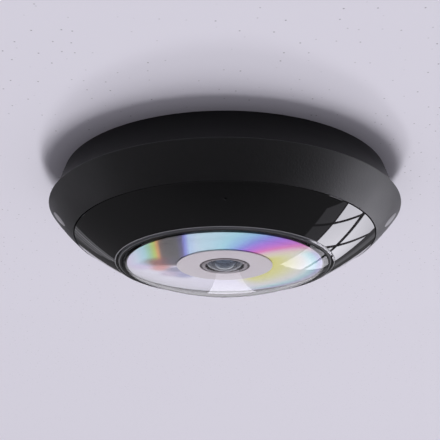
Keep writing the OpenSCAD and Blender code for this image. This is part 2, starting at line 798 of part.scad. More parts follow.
sensor_t = 1.6; // height of the sensor's package
sensor_glass_t = 0.5; // thickness of the sensor's cover glass
ear_w = 5.6; // size of the holder's screw ears
ear_t = 1.6; // thickness of the holder's screw ears

// The motor that moves the filter
arm_turn = 2 * asin(filter_pitch / 2 / arm_l);
tab_w = 4; // width of the carriage's driven tab
tab_slot_w = 2 * (arm_pin_r + fit_gap);
pin_reach = arm_l * cos(arm_turn / 2);
pin_dip = arm_l - pin_reach;
tab_slot_l = pin_dip + 2 * (arm_pin_r + fit_gap);
axle_r = 0.8; // radius of the rotor's axle
hub_wall = 0.6; // wall of the arm's hub round the axle
rotor_y = -(turret_r + run_gap + arm_pin_r + hub_wall + arm_l);
tab_end_y = rotor_y + pin_reach - arm_pin_r - fit_gap - carriage_rim;
tab_l = -carriage_w / 2 - tab_end_y;
rotor_base_t = 0.7; // thickness of the rotor's base
magnet_t = 3; // height of the rotor's magnet
rotor_low_h = sensor_face_h + rotor_base_t + slide_gap;
magnet_low_h = rotor_low_h + magnet_t;
arm_top_h = max(magnet_low_h + slide_gap, slot_low_h + slide_gap * 2);
arm_t = 1; // thickness of the arm
yoke_t = 1.2; // thickness of the yoke's plates
yoke_gap = magnet_r + 2 * run_gap; // distance of the yoke's plates from the rotor's axis
coil_wall = 1.3; // build-up of the winding
coil_y = rotor_y - magnet_r - coil_wall * 2 - yoke_t;

module lens_holder()
    color([0.08, 0.08, 0.08])
    difference() {
        union() {
            pad(sensor_face_h, holder_top_h, holder_l, holder_w, holder_wall);
            post(slot_low_h, turret_low_h, turret_r, fine);
            for (x = [-1, 1])
                translate([x * (holder_l + ear_w) / 2 - x * holder_wall, 0, 0])
                    pad(sensor_face_h, sensor_face_h + ear_t, ear_w, ear_w, ear_w / 4);
        }
        post(holder_top_h, turret_low_h + cut, lens_neck_r + slide_gap, fine);
        post(slot_top_h, holder_top_h + cut, filter_w * 2 / 3, fine);
        block(sensor_face_h - cut, slot_low_h - carriage_t / 2, sensor_w + 4 * run_gap,
            sensor_l + 2 * run_gap);
        block(slot_top_h, slot_low_h, slot_l, carriage_w + 2 * slide_gap);
        translate([0, -holder_w / 2, 0])
            block(slot_top_h, slot_low_h, tab_w + filter_pitch + 2 * run_gap, holder_wall * 3);
        for (x = [-1, 1])
            translate([x * ear_x, 0, 0])
                post(sensor_face_h - cut, sensor_face_h + ear_t + cut, small_shank_r + fit_gap / 2);
    }

ear_x = holder_l / 2 + ear_w / 2 - holder_wall / 2;
module holder_screws()
    color([0.5, 0.5, 0.52])
    for (x = [-1, 1])
        translate([x * ear_x, 0, 0])
            mirror([0, 0, 1])
                screw(-(sensor_face_h + ear_t + small_head_h), -(sensor_face_h + ear_t), small_head_r,
                    small_shank_r, ear_t + thin_board_t - slide_gap);

module image_sensor()
    color([0.25, 0.25, 0.28])
    block(sensor_face_h, sensor_face_h + sensor_t, sensor_w, sensor_l);

module sensor_glass()
    color([0.3, 0.4, 0.42, 0.6])
    block(sensor_face_h + sensor_t, sensor_face_h + sensor_t + sensor_glass_t, sensor_w - holder_wall,
        sensor_l - holder_wall);

// The filter carriage and its two glasses
module carriage_block(w, l, x)
    translate([x, 0, 0])
        block(slot_top_h + slide_gap, slot_low_h - slide_gap, w, l);

module filter_carriage()
    color([0.16, 0.16, 0.17])
    difference() {
        union() {
            carriage_block(carriage_l, carriage_w, carriage_x);
            translate([carriage_x, -(carriage_w + tab_l) / 2 + carriage_rim / 2, 0])
                block(slot_top_h + slide_gap, slot_low_h - slide_gap, tab_w, tab_l + carriage_rim);
        }
        for (x = [-1, 1])
            translate([carriage_x + x * filter_pitch / 2, 0, 0]) {
                block(slot_top_h - cut, slot_low_h + cut, filter_w - carriage_rim, filter_w - carriage_rim);
                block(slot_top_h + slide_gap + carriage_t / 2, slot_low_h + cut, filter_w, filter_w);
            }
        translate([carriage_x, tab_end_y + carriage_rim + tab_slot_l / 2, 0])
            block(slot_top_h - cut, slot_low_h + cut, tab_slot_w, tab_slot_l);
    }

module filter_glass(x)
    translate([carriage_x + x * filter_pitch / 2, 0, 0])
        block(slot_top_h + slide_gap + carriage_t / 2, slot_low_h - 2 * slide_gap, filter_w - slide_gap,
            filter_w - slide_gap);
module infrared_filter()
    color([0.35, 0.65, 0.75, 0.6])
    filter_glass(1);
module clear_filter()
    color([0.8, 0.85, 0.85, 0.4])
    filter_glass(-1);

module at_rotor()
    translate([0, rotor_y, 0])
        children();

module rotor_base()
    color([0.12, 0.12, 0.12])
    at_rotor() {
        pad(sensor_face_h, sensor_face_h + rotor_base_t, 2 * (yoke_gap + yoke_t), 2 * magnet_r, magnet_r / 4);
        post(sensor_face_h, arm_top_h + arm_t, axle_r);
    }

module rotor_magnet()
    color([0.35, 0.35, 0.37])
    at_rotor()
        ring(rotor_low_h, magnet_low_h, axle_r + slide_gap + hub_wall, magnet_r, 48);

module rotor_arm()
    color([0.75, 0.75, 0.72])
    at_rotor()
        difference() {
            union() {
                post(rotor_low_h, arm_top_h + arm_t, axle_r + slide_gap + hub_wall, 48);
                rotate(arm_turn / 2) {
                    translate([0, arm_l / 2, 0])
                        block(arm_top_h, arm_top_h + arm_t, 2 * (arm_pin_r + hub_wall), arm_l);
                    translate([0, arm_l, 0]) {
                        post(arm_top_h, arm_top_h + arm_t, arm_pin_r + hub_wall);
                        post(slot_top_h + slide_gap * 2, arm_top_h + arm_t / 2, arm_pin_r);
                    }
                }
            }
            post(rotor_low_h - cut, arm_top_h + arm_t + cut, axle_r + slide_gap, 48);
        }

module filter_yoke()
    color([0.6, 0.6, 0.62])
    union() {
        for (x = [-1, 1])
            translate([x * (yoke_gap + yoke_t / 2), (rotor_y + coil_y) / 2, 0])
                block(sensor_face_h + rotor_base_t, magnet_low_h, yoke_t, rotor_y - coil_y + yoke_t);
        translate([0, coil_y, 0])
            block(sensor_face_h + rotor_base_t + coil_wall, magnet_low_h - run_gap, 2 * yoke_gap + yoke_t,
                yoke_t);
    }

module filter_coil()
    color([0.72, 0.42, 0.2])
    translate([0, coil_y, -(sensor_face_h + rotor_base_t + coil_wall + coil_core_h / 2)])
        rotate([0, 90, 0])
            translate([0, 0, -yoke_gap + run_gap])
                linear_extrude(2 * (yoke_gap - run_gap))
                    difference() {
                        rounded(coil_core_h + 2 * coil_wall, yoke_t + 2 * coil_wall, coil_wall);
                        square([coil_core_h + 2 * slide_gap, yoke_t + 2 * slide_gap], center = true);
                    }
coil_core_h = magnet_t + slide_gap - run_gap - coil_wall;

// The sensor board and what joins it to the main board
small_shank_r = 1; // radius of a small screw
small_head_r = 1.9; // radius of a small screw's head
small_head_h = 1.3; // height of a small screw's head
board_shank_r = 1.2; // radius of a main board screw
standoff_r = 2.4; // radius across the standoffs' corners
sensor_board_near_y = holder_w / 2 + standoff_r * 2;
sensor_board_far_y = coil_y - yoke_t - coil_wall * 2;
sensor_board_w = holder_l + ear_w * 2 + standoff_r;
sensor_board_y = (sensor_board_near_y + sensor_board_far_y) / 2;
sensor_board_l = sensor_board_near_y - sensor_board_far_y;

module at_standoffs()
    for (x = [-1, 1], y = [sensor_board_near_y - standoff_r * 3 / 2, sensor_board_far_y + standoff_r * 3 / 2])
        translate([x * (sensor_board_w / 2 - standoff_r * 3 / 2), y, 0])
            children();

module sensor_board()
    color([0.08, 0.3, 0.16])
    difference() {
        translate([0, sensor_board_y, 0])
            pad(sensor_board_top_h, sensor_face_h, sensor_board_w, sensor_board_l, standoff_r);
        at_standoffs()
            post(sensor_board_top_h - cut, sensor_face_h + cut, small_shank_r + fit_gap);
        for (x = [-1, 1])
            translate([x * ear_x, 0, 0])
                post(sensor_board_top_h - cut, sensor_face_h + cut, small_shank_r + fit_gap / 2);
    }

module board_standoffs()
    color([0.78, 0.62, 0.3])
    at_standoffs()
        difference() {
            post(board_low_h, sensor_board_top_h, standoff_r, 6);
            post(board_low_h - cut, sensor_board_top_h + cut, small_shank_r + fit_gap / 2);
        }

module sensor_screws()
    color([0.5, 0.5, 0.52])
    at_standoffs()
        mirror([0, 0, 1])
            screw(-(sensor_face_h + small_head_h), -sensor_face_h, small_head_r, small_shank_r,
                sensor_face_h - board_low_h - slide_gap);

module board_link()
    color([0.75, 0.72, 0.62])
    translate([0, holder_w / 2 - standoff_r, 0])
        block(board_low_h, sensor_board_top_h, sensor_w, standoff_r * 3 / 2);

// The main board and its parts
module main_board()
    color([0.07, 0.27, 0.15])
    difference() {
        post(cover_low_h + boss_h, board_low_h, board_r, fine);
        at_well()
            pad(cover_low_h, board_low_h + cut, well_l + 2 * run_gap, well_out_w + 2 * run_gap, well_wall);
        at_board_screws()
            post(cover_low_h, board_low_h + cut, board_shank_r + fit_gap);
    }

module board_screws()
    color([0.55, 0.55, 0.57])
    at_board_screws()
        mirror([0, 0, 1])
            screw(-(board_low_h + small_head_h), -board_low_h, small_head_r + slide_gap, board_shank_r,
                main_t + boss_h - cover_t / 4);

module processor()
    color([0.12, 0.12, 0.13])
    translate([chip_place[0], chip_place[1], 0])
        block(cover_low_h + pedestal_h + pad_gap, cover_low_h + boss_h, chip_w, chip_w);

module thermal_pad()
    color([0.45, 0.55, 0.65])
    translate([chip_place[0], chip_place[1], 0])
        block(cover_low_h + pedestal_h, cover_low_h + pedestal_h + pad_gap,
            chip_w - pad_gap, chip_w - pad_gap);

module memory_chips()
    color([0.1, 0.1, 0.1])
    for (x = [-1, 1])
        translate([x * (chip_w + run_gap), chip_place[1] + chip_w / 4, 0])
            block(cover_low_h + boss_h - chip_t * 2 / 3, cover_low_h + boss_h, chip_w / 2, chip_w * 2 / 3);

module power_transformer()
    color([0.3, 0.22, 0.1])
    translate([-board_r / 2, -board_r / 6, 0]) {
        block(board_low_h, board_low_h + jack_h * 2 / 3, chip_w * 4 / 5, chip_w * 3 / 5);
        block(board_low_h, board_low_h + jack_h / 2, chip_w * 3 / 5, chip_w);
    }

module capacitors()
    color([0.35, 0.36, 0.4])
    for (i = [0:2])
        translate([board_r / 2, -board_r / 3 + i * chip_w * 3 / 5, 0])
            post(board_low_h, board_low_h + jack_h * 3 / 4, chip_w / 4, 48);

// The network jack, whose mouth opens into the cable well
jack_y = well_y;
mouth_top_h = board_low_h + (jack_h - mouth_h) * 3 / 5;
contact_t = 0.4; // thickness of a contact
contact_pitch = 1.02; // distance between contacts
contacts = 8; // number of contacts

module network_jack()
    color([0.72, 0.72, 0.74])
    difference() {
        translate([well_right + jack_l / 2, jack_y, 0])
            block(board_low_h, jack_low_h, jack_l, jack_w);
        translate([well_right + mouth_l / 2, jack_y, 0])
            block(mouth_top_h, mouth_top_h + mouth_h, mouth_l, mouth_w);
        translate([well_right - cut, jack_y - mouth_w / 2, -mouth_top_h - mouth_h])
            cube([cut * 2, mouth_w, mouth_h]);
        translate([well_right + mouth_l / 2, jack_y, 0])
            block(mouth_top_h + mouth_h / 2, mouth_top_h + mouth_h * 5 / 4, mouth_l, mouth_w / 2);
    }

module jack_contacts()
    color([0.85, 0.7, 0.3])
    for (i = [0:contacts - 1])
        translate([well_right + mouth_l * 2 / 3, jack_y + (i - (contacts - 1) / 2) * contact_pitch, 0])
            block(mouth_top_h, mouth_top_h + contact_t, mouth_l / 2, contact_t);

// The reset button and the switch that it presses
switch_h = chip_t + slide_gap;
flange_t = 0.6; // thickness of the button's flange
module reset_switch()
    color([0.3, 0.3, 0.32])
    translate([button_place[0], button_place[1], 0]) {
        block(cover_low_h + boss_h - switch_h, cover_low_h + boss_h,
            2 * button_r + cover_t, 2 * button_r + cover_t);
        post(cover_low_h + boss_h - switch_h - slide_gap * 4, cover_low_h + boss_h - switch_h / 2,
            button_r / 2);
    }

module reset_button()
    color([0.2, 0.2, 0.21])
    translate([button_place[0], button_place[1], 0]) {
        post(top_h + run_gap, button_low_h, button_r, 48);
        post(cover_low_h + slide_gap, cover_low_h + slide_gap + flange_t, button_r * 3 / 2, 48);
    }
button_low_h = cover_low_h + boss_h - switch_h - slide_gap * 5 - button_travel;

// The inner frame, the lamp board and the infrared lamps
frame_top_h = seat_top_h - frame_t;
frame_in_r = window_r + 3 * run_gap;
frame_out_r = skirt_in_r(seat_top_h) - run_gap;
frame_screw_count = 4;
frame_screw_r = (seat_r + skirt_in_r(seat_top_h)) / 2 - slide_gap;
lamp_board_r = seat_r - run_gap;
lamp_board_in_r = frame_in_r + run_gap * 3;
lamp_r = (lamp_board_r + lamp_board_in_r) / 2 - run_gap;
lamp_w = 3.6; // side of an infrared lamp
lamp_t = 0.9; // height of an infrared lamp's base
header_w = 12; // length of the header between the boards
header_l = 3.2; // width of that header

module inner_frame()
    color([0.1, 0.1, 0.11])
    difference() {
        ring(frame_top_h, seat_top_h, frame_in_r, frame_out_r);
        around(frame_screw_count, 45)
            translate([frame_screw_r, 0, 0])
                post(frame_top_h - cut, seat_top_h + cut, small_shank_r + fit_gap / 2);
        translate([0, -lamp_r, 0])
            block(frame_top_h - cut, seat_top_h + cut, header_w + 2 * run_gap, header_l + 2 * run_gap);
        around(frame_screw_count * 2, 180 / frame_screw_count / 4)
            translate([lamp_r, 0, 0])
                post(frame_top_h - cut, seat_top_h + cut, header_l);
    }

module frame_screws()
    color([0.5, 0.5, 0.52])
    around(frame_screw_count, 45)
        translate([frame_screw_r, 0, 0])
            screw(frame_top_h - small_head_h, frame_top_h, small_head_r, small_shank_r,
                frame_t + face_seat_t - slide_gap);

module lamp_board()
    color([0.1, 0.1, 0.12])
    ring(seat_top_h, seat_top_h + thin_board_t, lamp_board_in_r, lamp_board_r);

module infrared_lamps()
    color([0.25, 0.2, 0.25])
    around(lamps, 180 / lamps)
        translate([lamp_r, 0, 0]) {
            block(seat_top_h + thin_board_t, seat_top_h + thin_board_t + lamp_t, lamp_w, lamp_w);
            intersection() {
                translate([0, 0, -(seat_top_h + thin_board_t + lamp_t / 2)])
                    sphere(lamp_w * 2 / 5, $fn = small);
                post(seat_top_h + thin_board_t + lamp_t / 2, seat_top_h + thin_board_t + lamp_w, lamp_w);
            }
        }

module lamp_header()
    color([0.85, 0.83, 0.75])
    translate([0, -lamp_r, 0])
        block(board_low_h, seat_top_h, header_w, header_l);

// The microphones, each in a rubber boot behind its pinhole
mic_w = boot_r * 7 / 5;
mic_t = 1; // height of a microphone
module mic_boots()
    color([0.25, 0.25, 0.26])
    at_mics()
        translate([0, 0, -face_inner_w - boot_l])
            difference() {
                cylinder(h = boot_l - slide_gap, r = boot_r, $fn = small);
                translate([0, 0, -cut])
                    cylinder(h = boot_l + 2 * cut, r = pinhole_r, $fn = small);
            }

module microphones()
    color([0.8, 0.75, 0.55])
    at_mics()
        translate([-mic_w / 2, -mic_w / 2, -face_inner_w - boot_l - mic_t])
            cube([mic_w, mic_w, mic_t]);

// The lamps behind the light ring
ring_lamp_w = 1.5; // side of a ring lamp
strip_t = 0.3; // thickness of their flexible strip
strip_r = ring_in_r + ring_w / 2 - fit_gap;
module ring_lamp_strip()
    color([0.75, 0.5, 0.2])
    ring(window_seat_top_h - strip_t, window_seat_top_h, strip_r - ring_lamp_w, strip_r + ring_lamp_w);

module ring_lamps_group()
    color([0.95, 0.93, 0.8])
    around(ring_lamps, 180 / ring_lamps)
        translate([strip_r, 0, 0])
            block(window_seat_top_h, window_seat_h - fit_gap, ring_lamp_w, ring_lamp_w);

mount_base();
ceiling_foam();
rear_cover();
cover_seal();
cover_screws();
body_shell();
side_discs();
face_plate();
face_seal();
light_ring();
dome_gasket();
dome_window();
mirror_disc();
disc_carrier();
carrier_screws();
lens_bezel();
lens_front_ring();
front_element();
second_element();
third_element();
fourth_element();
aperture_stop();
lens_barrel();
lens_lock_ring();
lens_holder();
holder_screws();
image_sensor();
sensor_glass();
sensor_board();
board_standoffs();
sensor_screws();
board_link();
filter_carriage();
infrared_filter();
clear_filter();
rotor_magnet();
rotor_arm();
rotor_base();
filter_coil();
filter_yoke();
main_board();
board_screws();
processor();
thermal_pad();
memory_chips();
power_transformer();
capacitors();
network_jack();
jack_contacts();
reset_switch();
reset_button();
inner_frame();
frame_screws();
lamp_board();
infrared_lamps();
lamp_header();
microphones();
mic_boots();
ring_lamp_strip();
ring_lamps_group();
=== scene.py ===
# %% [markdown]
# # A round fisheye camera under a ceiling
#
# The real object is a black ceiling camera, 186 mm across. It has a neck that stands on the ceiling, a matte
# shell, a gloss face, a clear ring and a clear dome over a mirror disc with a lens in its middle.
#
# The solid model comes in first and stays fixed: it gives every size and it carries the joints. This script
# gives the pieces that the eye meets finer surfaces, and gives every piece the finish of its real material.

# %% Load the solid model
import json
import bmesh
import bpy
import numpy as np
from mathutils import Matrix, Vector


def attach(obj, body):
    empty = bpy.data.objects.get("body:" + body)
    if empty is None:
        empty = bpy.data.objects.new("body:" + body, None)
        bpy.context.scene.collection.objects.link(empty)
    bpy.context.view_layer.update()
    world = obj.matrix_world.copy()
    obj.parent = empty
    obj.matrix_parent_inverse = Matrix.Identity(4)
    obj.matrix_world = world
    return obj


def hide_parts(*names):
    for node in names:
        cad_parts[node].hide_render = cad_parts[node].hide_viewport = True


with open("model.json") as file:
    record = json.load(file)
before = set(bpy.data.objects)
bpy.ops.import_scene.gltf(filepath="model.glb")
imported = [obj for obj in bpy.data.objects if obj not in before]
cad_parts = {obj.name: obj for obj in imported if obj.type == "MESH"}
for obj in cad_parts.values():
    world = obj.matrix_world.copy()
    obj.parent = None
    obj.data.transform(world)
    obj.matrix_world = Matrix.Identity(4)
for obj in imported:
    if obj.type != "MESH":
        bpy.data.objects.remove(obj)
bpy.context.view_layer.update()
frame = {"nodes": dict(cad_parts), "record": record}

nodes = frame["nodes"]

# %% [markdown]
# ## The camera of the photograph
#
# The photograph looks up at the object from the front, from half a metre away. A lens of 78 mm on a 36 mm
# sensor gives the same narrow perspective. Place, pitch and roll were found by fitting the seams of the
# object to the picture. The camera's axes are worked out from the two angles: right, up and back are the
# three columns of its turning matrix.

# %% Place the camera
photo_place = (-0.00254, -0.47434, -0.20119)
pitch, roll = np.radians(20.82), 0.0026
ahead = np.array([0, np.cos(pitch), np.sin(pitch)])
across = np.array([1.0, 0, 0])
upward = np.cross(across, ahead)
right = np.cos(roll) * across + np.sin(roll) * upward
up = -np.sin(roll) * across + np.cos(roll) * upward

lens = bpy.data.cameras.new("photo_camera")
lens.lens, lens.sensor_width = 77.74, 36
camera = bpy.data.objects.new("photo_camera", lens)
turn = Matrix(np.column_stack([right, up, -ahead]).tolist()).to_4x4()
camera.matrix_world = Matrix.Translation(photo_place) @ turn
bpy.context.scene.collection.objects.link(camera)
bpy.context.scene.camera = camera
print("camera at", tuple(round(v, 3) for v in camera.location))

# %% [markdown]
# ## Surfaces from arrays
#
# Nearly every visible piece of this camera is turned: one outline goes round the axis. A modelling tool could
# spin the outline, but as arrays it is one line of arithmetic, and the same grid can take a hole later. Sizes
# are written in millimetres, as in the solid model: a radius, and a depth below the ceiling.
#
# `eased` rounds the corners of an outline, because a real moulded or turned edge is never sharp and its small
# rounding catches a line of light.

# %% Rounded and bowed lines
def eased(corners, cut, parts=5):
    """Rounds each corner C of a closed outline. A lies the cut before C and B the cut after it, along the two
    edges, and the rounding is (1 - t)^2 A + 2t (1 - t) C + t^2 B for t from 0 to 1."""
    c = np.asarray(corners, float)
    cut = np.broadcast_to(cut, len(c))[:, None]
    before, after = np.roll(c, 1, axis=0) - c, np.roll(c, -1, axis=0) - c
    a = c + before / np.linalg.norm(before, axis=1)[:, None] * cut
    b = c + after / np.linalg.norm(after, axis=1)[:, None] * cut
    t = np.linspace(0, 1, parts)[None, :, None]
    curve = (1 - t) ** 2 * a[:, None] + 2 * t * (1 - t) * c[:, None] + t ** 2 * b[:, None]
    return curve.reshape(-1, 2)


def bowed(a, b, bow, share):
    """A line from A to B that bows outwards: A + (B - A) s + N 4 bow s (1 - s), with N at right angles to the
    line."""
    a, b, s = np.asarray(a, float), np.asarray(b, float), np.asarray(share, float)[:, None]
    run = (b - a) / np.linalg.norm(b - a)
    return a + (b - a) * s + np.array([run[1], -run[0]]) * 4 * bow * s * (1 - s)


print("an eased square has", len(eased([[0, 0], [1, 0], [1, 1], [0, 1]], 0.1)), "points")

# %% Turned grids and their faces
circle = np.radians(np.linspace(-225, 135, 289))


def turned(outline, angles=circle):
    """Point j of an outline at angle t is (r_j cos t, r_j sin t, -depth_j), as a grid of angles by points."""
    r, depth = np.asarray(outline, float).T
    t = np.asarray(angles)[:, None]
    return np.stack(np.broadcast_arrays(r * np.cos(t), r * np.sin(t), -depth), axis=-1)


def skin(points, keep=None):
    """Joins each grid point (i, j) to (i + 1, j), (i + 1, j + 1) and (i, j + 1) as one face, but not where
    keep is false. Returns the points in a row and the faces."""
    m, n = points.shape[:2]
    i, j = np.meshgrid(np.arange(m - 1), np.arange(n - 1), indexing="ij")
    if keep is not None:
        i, j = i[keep], j[keep]
    corner = (i * n + j).ravel()
    return points.reshape(-1, 3), np.stack([corner, corner + n, corner + n + 1, corner + 1], axis=1)


print("one line turns into", len(skin(turned([[1, 0], [2, 0]]))[1]), "faces")

# %% Weld
weld_gap = 2e-6


def weld(name, skins, body, stands_for, sharp=32):
    """Makes one mesh of several skins: welds the points that meet, drops edges that no face uses, turns the
    faces outwards, shades smooth and keeps edges sharp where two faces meet at more than the given angle.
    Millimetres become metres here."""
    sizes = np.cumsum([0] + [len(p) for p, _ in skins[:-1]])
    points = np.concatenate([p for p, _ in skins]) / 1000
    faces = np.concatenate([f + s for (_, f), s in zip(skins, sizes)])
    mesh = bpy.data.meshes.new(name)
    mesh.from_pydata(points.tolist(), [], faces.tolist())
    work = bmesh.new()
    work.from_mesh(mesh)
    bmesh.ops.remove_doubles(work, verts=work.verts, dist=weld_gap)
    loose = [e for e in work.edges if not e.link_faces]
    bmesh.ops.delete(work, geom=loose, context="EDGES")
    bmesh.ops.recalc_face_normals(work, faces=work.faces)
    open_edges = sum(len(e.link_faces) != 2 for e in work.edges)
    work.to_mesh(mesh)
    work.free()
    mesh.shade_smooth()
    mesh.set_sharp_from_angle(angle=np.radians(sharp))
    piece = bpy.data.objects.new(name, mesh)
    bpy.context.scene.collection.objects.link(piece)
    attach(piece, body)
    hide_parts(*stands_for)
    print(name, len(mesh.polygons), "faces,", open_edges, "open edges")
    return piece


print("points weld within", weld_gap * 1000, "mm")

# %% [markdown]
# ## A hole let into a turned surface
#
# The shell has a round inlay let into each side, and the face has four pinholes for the microphones. A
# boolean could cut them, but it leaves long thin faces that spoil a gloss surface. Here the grid leaves a
# small window open, and a fan of rings leads from the window's border to the round edge. Every point of the
# fan lies on the turned surface, because its angle and depth are put back into the surface's own formula.

# %% Windows and holes
def window_keep(angles, depths, middle, half_angle, half_depth):
    """False for the grid cells whose corners all lie within the window round the middle (angle, depth)."""
    near = lambda values, at, half: np.abs(values - at) <= half + 1e-6
    a = near(angles, middle[0], half_angle)
    d = near(depths, middle[1], half_depth)
    return ~((a[:-1] & a[1:])[:, None] & (d[:-1] & d[1:])[None, :])


def let_in(angles, depths, radius_at, middle, half_angle, half_depth, tilt, radius, deep, ease, base_steps=4):
    """A round hole of the given radius and depth, square to a slope that is tilted from the horizontal. The
    border of the window is joined to the hole's edge by straight lines in (angle, depth), then the wall goes
    in along the slope's normal, and the floor closes to its centre."""
    a = angles[np.abs(angles - middle[0]) <= half_angle + 1e-6]
    d = depths[np.abs(depths - middle[1]) <= half_depth + 1e-6]
    border = np.concatenate([np.stack([a, np.full_like(a, d[0])], 1),
                             np.stack([np.full_like(d, a[-1]), d], 1)[1:],
                             np.stack([a, np.full_like(a, d[-1])], 1)[-2::-1],
                             np.stack([np.full_like(d, a[0]), d], 1)[-2::-1]])
    on = lambda ad: np.stack([radius_at(ad[..., 1]) * np.cos(ad[..., 0]),
                              radius_at(ad[..., 1]) * np.sin(ad[..., 0]), -ad[..., 1]], -1)
    centre = on(np.array(middle))
    side = np.array([-np.sin(middle[0]), np.cos(middle[0]), 0])
    out = np.array([np.sin(tilt) * np.cos(middle[0]), np.sin(tilt) * np.sin(middle[0]), -np.cos(tilt)])
    down = np.cross(side, out)
    away = on(border) - centre
    turn = np.arctan2(away @ down, away @ side)[:, None]
    rim = lambda r: centre + r * (np.cos(turn) * side + np.sin(turn) * down)
    edge = rim(radius + ease)
    edge = np.stack([np.arctan2(edge[:, 1], edge[:, 0]), -edge[:, 2]], 1)
    edge[:, 0] += 2 * np.pi * np.round((middle[0] - edge[:, 0]) / (2 * np.pi))
    s = np.linspace(0, 1, base_steps)[:, None, None]
    fan = on(border + (edge - border) * s)
    wall = [rim(radius) - out * depth for depth in (ease, deep)]
    floor = [rim(radius * share) - out * deep for share in (0.6, 0.0)]
    return skin(np.concatenate([fan, np.stack(wall + floor)]))


sample = window_keep(circle, np.arange(9.0), (0, 4), np.radians(5), 1)
print("a window 10 degrees wide and 2 mm high leaves out", int((~sample).sum()), "faces")

# %% [markdown]
# ## The matte shell
#
# The shell is a ring of moulded ABS. From its crisp rim it slopes inwards to the gloss face, and the slope
# bows out slightly, which gives the soft change of light along it. Inside it has the ledge that the rear
# cover is screwed to, and the seat that the face is screwed to. The outline's slope is a grid with a window
# for each inlay; the rest is a turned outline, welded to it.

# %% Shell outline
rim_at, rim_r = np.array([92.8, 16.8]), 0.2
rim_arc = rim_at + rim_r * np.stack([np.cos(a := np.radians(np.linspace(-90, 40, 12))), np.sin(a)], 1)
skirt_from, skirt_to, skirt_bow, shell_wall = rim_arc[-1], np.array([79.45, 31.9]), 0.45, 2.4
skirt = bowed(skirt_from, skirt_to, skirt_bow, np.linspace(0, 1, 41))
skirt_run = (skirt_to - skirt_from) / np.linalg.norm(skirt_to - skirt_from)
skirt_out = np.array([skirt_run[1], -skirt_run[0]])
inner_from, inner_to = skirt_from - skirt_out * shell_wall, skirt_to - skirt_out * shell_wall
inner_r = lambda depth: np.interp(depth, [inner_from[1], inner_to[1]], [inner_from[0], inner_to[0]])
# From the seam inwards: the face's seat, the sloping wall, and the ledge up to the rim
inside = np.array([[79.45, 30.2], [74.55, 30.2], [74.55, 28.2], [inner_r(28.2), 28.2], [inner_r(21.7), 21.7],
                   [84.4, 21.7], [84.4, 19.2], [88.8, 19.2], [88.8, 16.6]])
skirt_r = lambda depth: np.interp(depth, skirt[:, 1], skirt[:, 0])
print("skirt from", skirt_from.round(2), "to", skirt_to)

# %% Shell mesh
# An inlay lies 44% of the way down the slope, in a recess 0.075 mm wider than itself
inlay_r, inlay_t, recess_r, recess_ease, inlay_share = 4.5, 0.6, 4.575, 0.12, 0.44
inlay_at = skirt_from + (skirt_to - skirt_from) * inlay_share + skirt_out * skirt_bow
inlay_tilt = np.arctan2(skirt_out[0], skirt_out[1])
inlay_angles = np.radians([-174.5, -5.5])
steps = np.radians([-4, -3, -2, -1, 0, 1, 2, 3, 4])
window_half = (steps[-1], 4.2)
shell_angles = np.unique(np.round(np.concatenate([circle, *(b + steps for b in inlay_angles)]), 7))
inlay_cells = [(b, inlay_at[1]) for b in inlay_angles]
keep = np.all([window_keep(shell_angles, skirt[:, 1], c, *window_half) for c in inlay_cells], axis=0)
shell_skins = [skin(turned(skirt, shell_angles), keep),
               skin(turned(np.concatenate([[skirt_to], inside, rim_arc]), shell_angles))]
shell_skins += [let_in(shell_angles, skirt[:, 1], skirt_r, c, *window_half, inlay_tilt, recess_r, inlay_t,
                       recess_ease) for c in inlay_cells]

# The six bosses for the cover's screws, each a blind tube on its own axis
boss_circle = 82.6
boss_r, bore_r, boss_from, boss_to, bore_to = 3, 1.43, 19.35, 24.2, 23.6
boss = turned([[bore_r, boss_from], [boss_r, boss_from], [boss_r, boss_to], [0, boss_to], [0, bore_to],
               [bore_r, bore_to], [bore_r, boss_from]], np.linspace(-np.pi, np.pi, 33))
shell_skins += [skin(boss + [boss_circle * np.cos(t), boss_circle * np.sin(t), 0])
                for t in np.radians(np.arange(0, 360, 60))]
shell = weld("shell", shell_skins, "camera", ["body_shell"])

# %% [markdown]
# ## The inlays in the shell's sides
#
# A plain round inlay sits flush in each recess. It is a thin punched disc with softened edges, turned round
# its own axis and then stood square to the slope.

# %% Inlays
def stood(points, centre, azimuth, tilt):
    """Moves a turned grid from its own axis to a place on the slope: x goes along the side, y down the slope
    and z out of it."""
    side = np.array([-np.sin(azimuth), np.cos(azimuth), 0])
    out = np.array([np.sin(tilt) * np.cos(azimuth), np.sin(tilt) * np.sin(azimuth), -np.cos(tilt)])
    at = np.array([centre[0] * np.cos(azimuth), centre[0] * np.sin(azimuth), -centre[1]])
    return at + points @ np.stack([side, np.cross(out, side), out])


inlay = turned(eased([[0, 0], [inlay_r, 0], [inlay_r, inlay_t], [0, inlay_t]], [0, 0.15, 0.1, 0]),
               np.linspace(-np.pi, np.pi, 97))
inlays = weld("inlays", [skin(stood(inlay, inlay_at, b, inlay_tilt)) for b in inlay_angles], "camera",
              ["side_discs"])

# %% [markdown]
# ## The gloss face
#
# The face is one infrared-clear moulding, polished like a piano lid, so its form shows only in its
# reflections. It needs a fine even grid more than any other piece. Its slope starts a little inside the
# shell's edge, which leaves the narrow dark seam between the two open. Its four pinholes lead sound to the
# microphones, which sit behind it in rubber boots held by short tubes.

# %% Face outline
seat_at, lip_at = 43.62, 45.77
face_from, face_to, face_bow = np.array([79.15, 31.9]), np.array([57.55, lip_at]), 0.42
seam_share, mic_share, pinhole_r, pinhole_ease, pinhole_deep = 0.016, 0.38, 0.55, 0.08, 2.0
round_mic = np.array([-45, -30, -20, -10, 0, 10, 20, 30, 45]) / 1000
share = np.unique(np.round(np.concatenate([np.linspace(seam_share, 1, 33), mic_share + round_mic]), 6))
face_line = bowed(face_from, face_to, face_bow, share)
face_r = lambda depth: np.interp(depth, face_line[:, 1], face_line[:, 0])
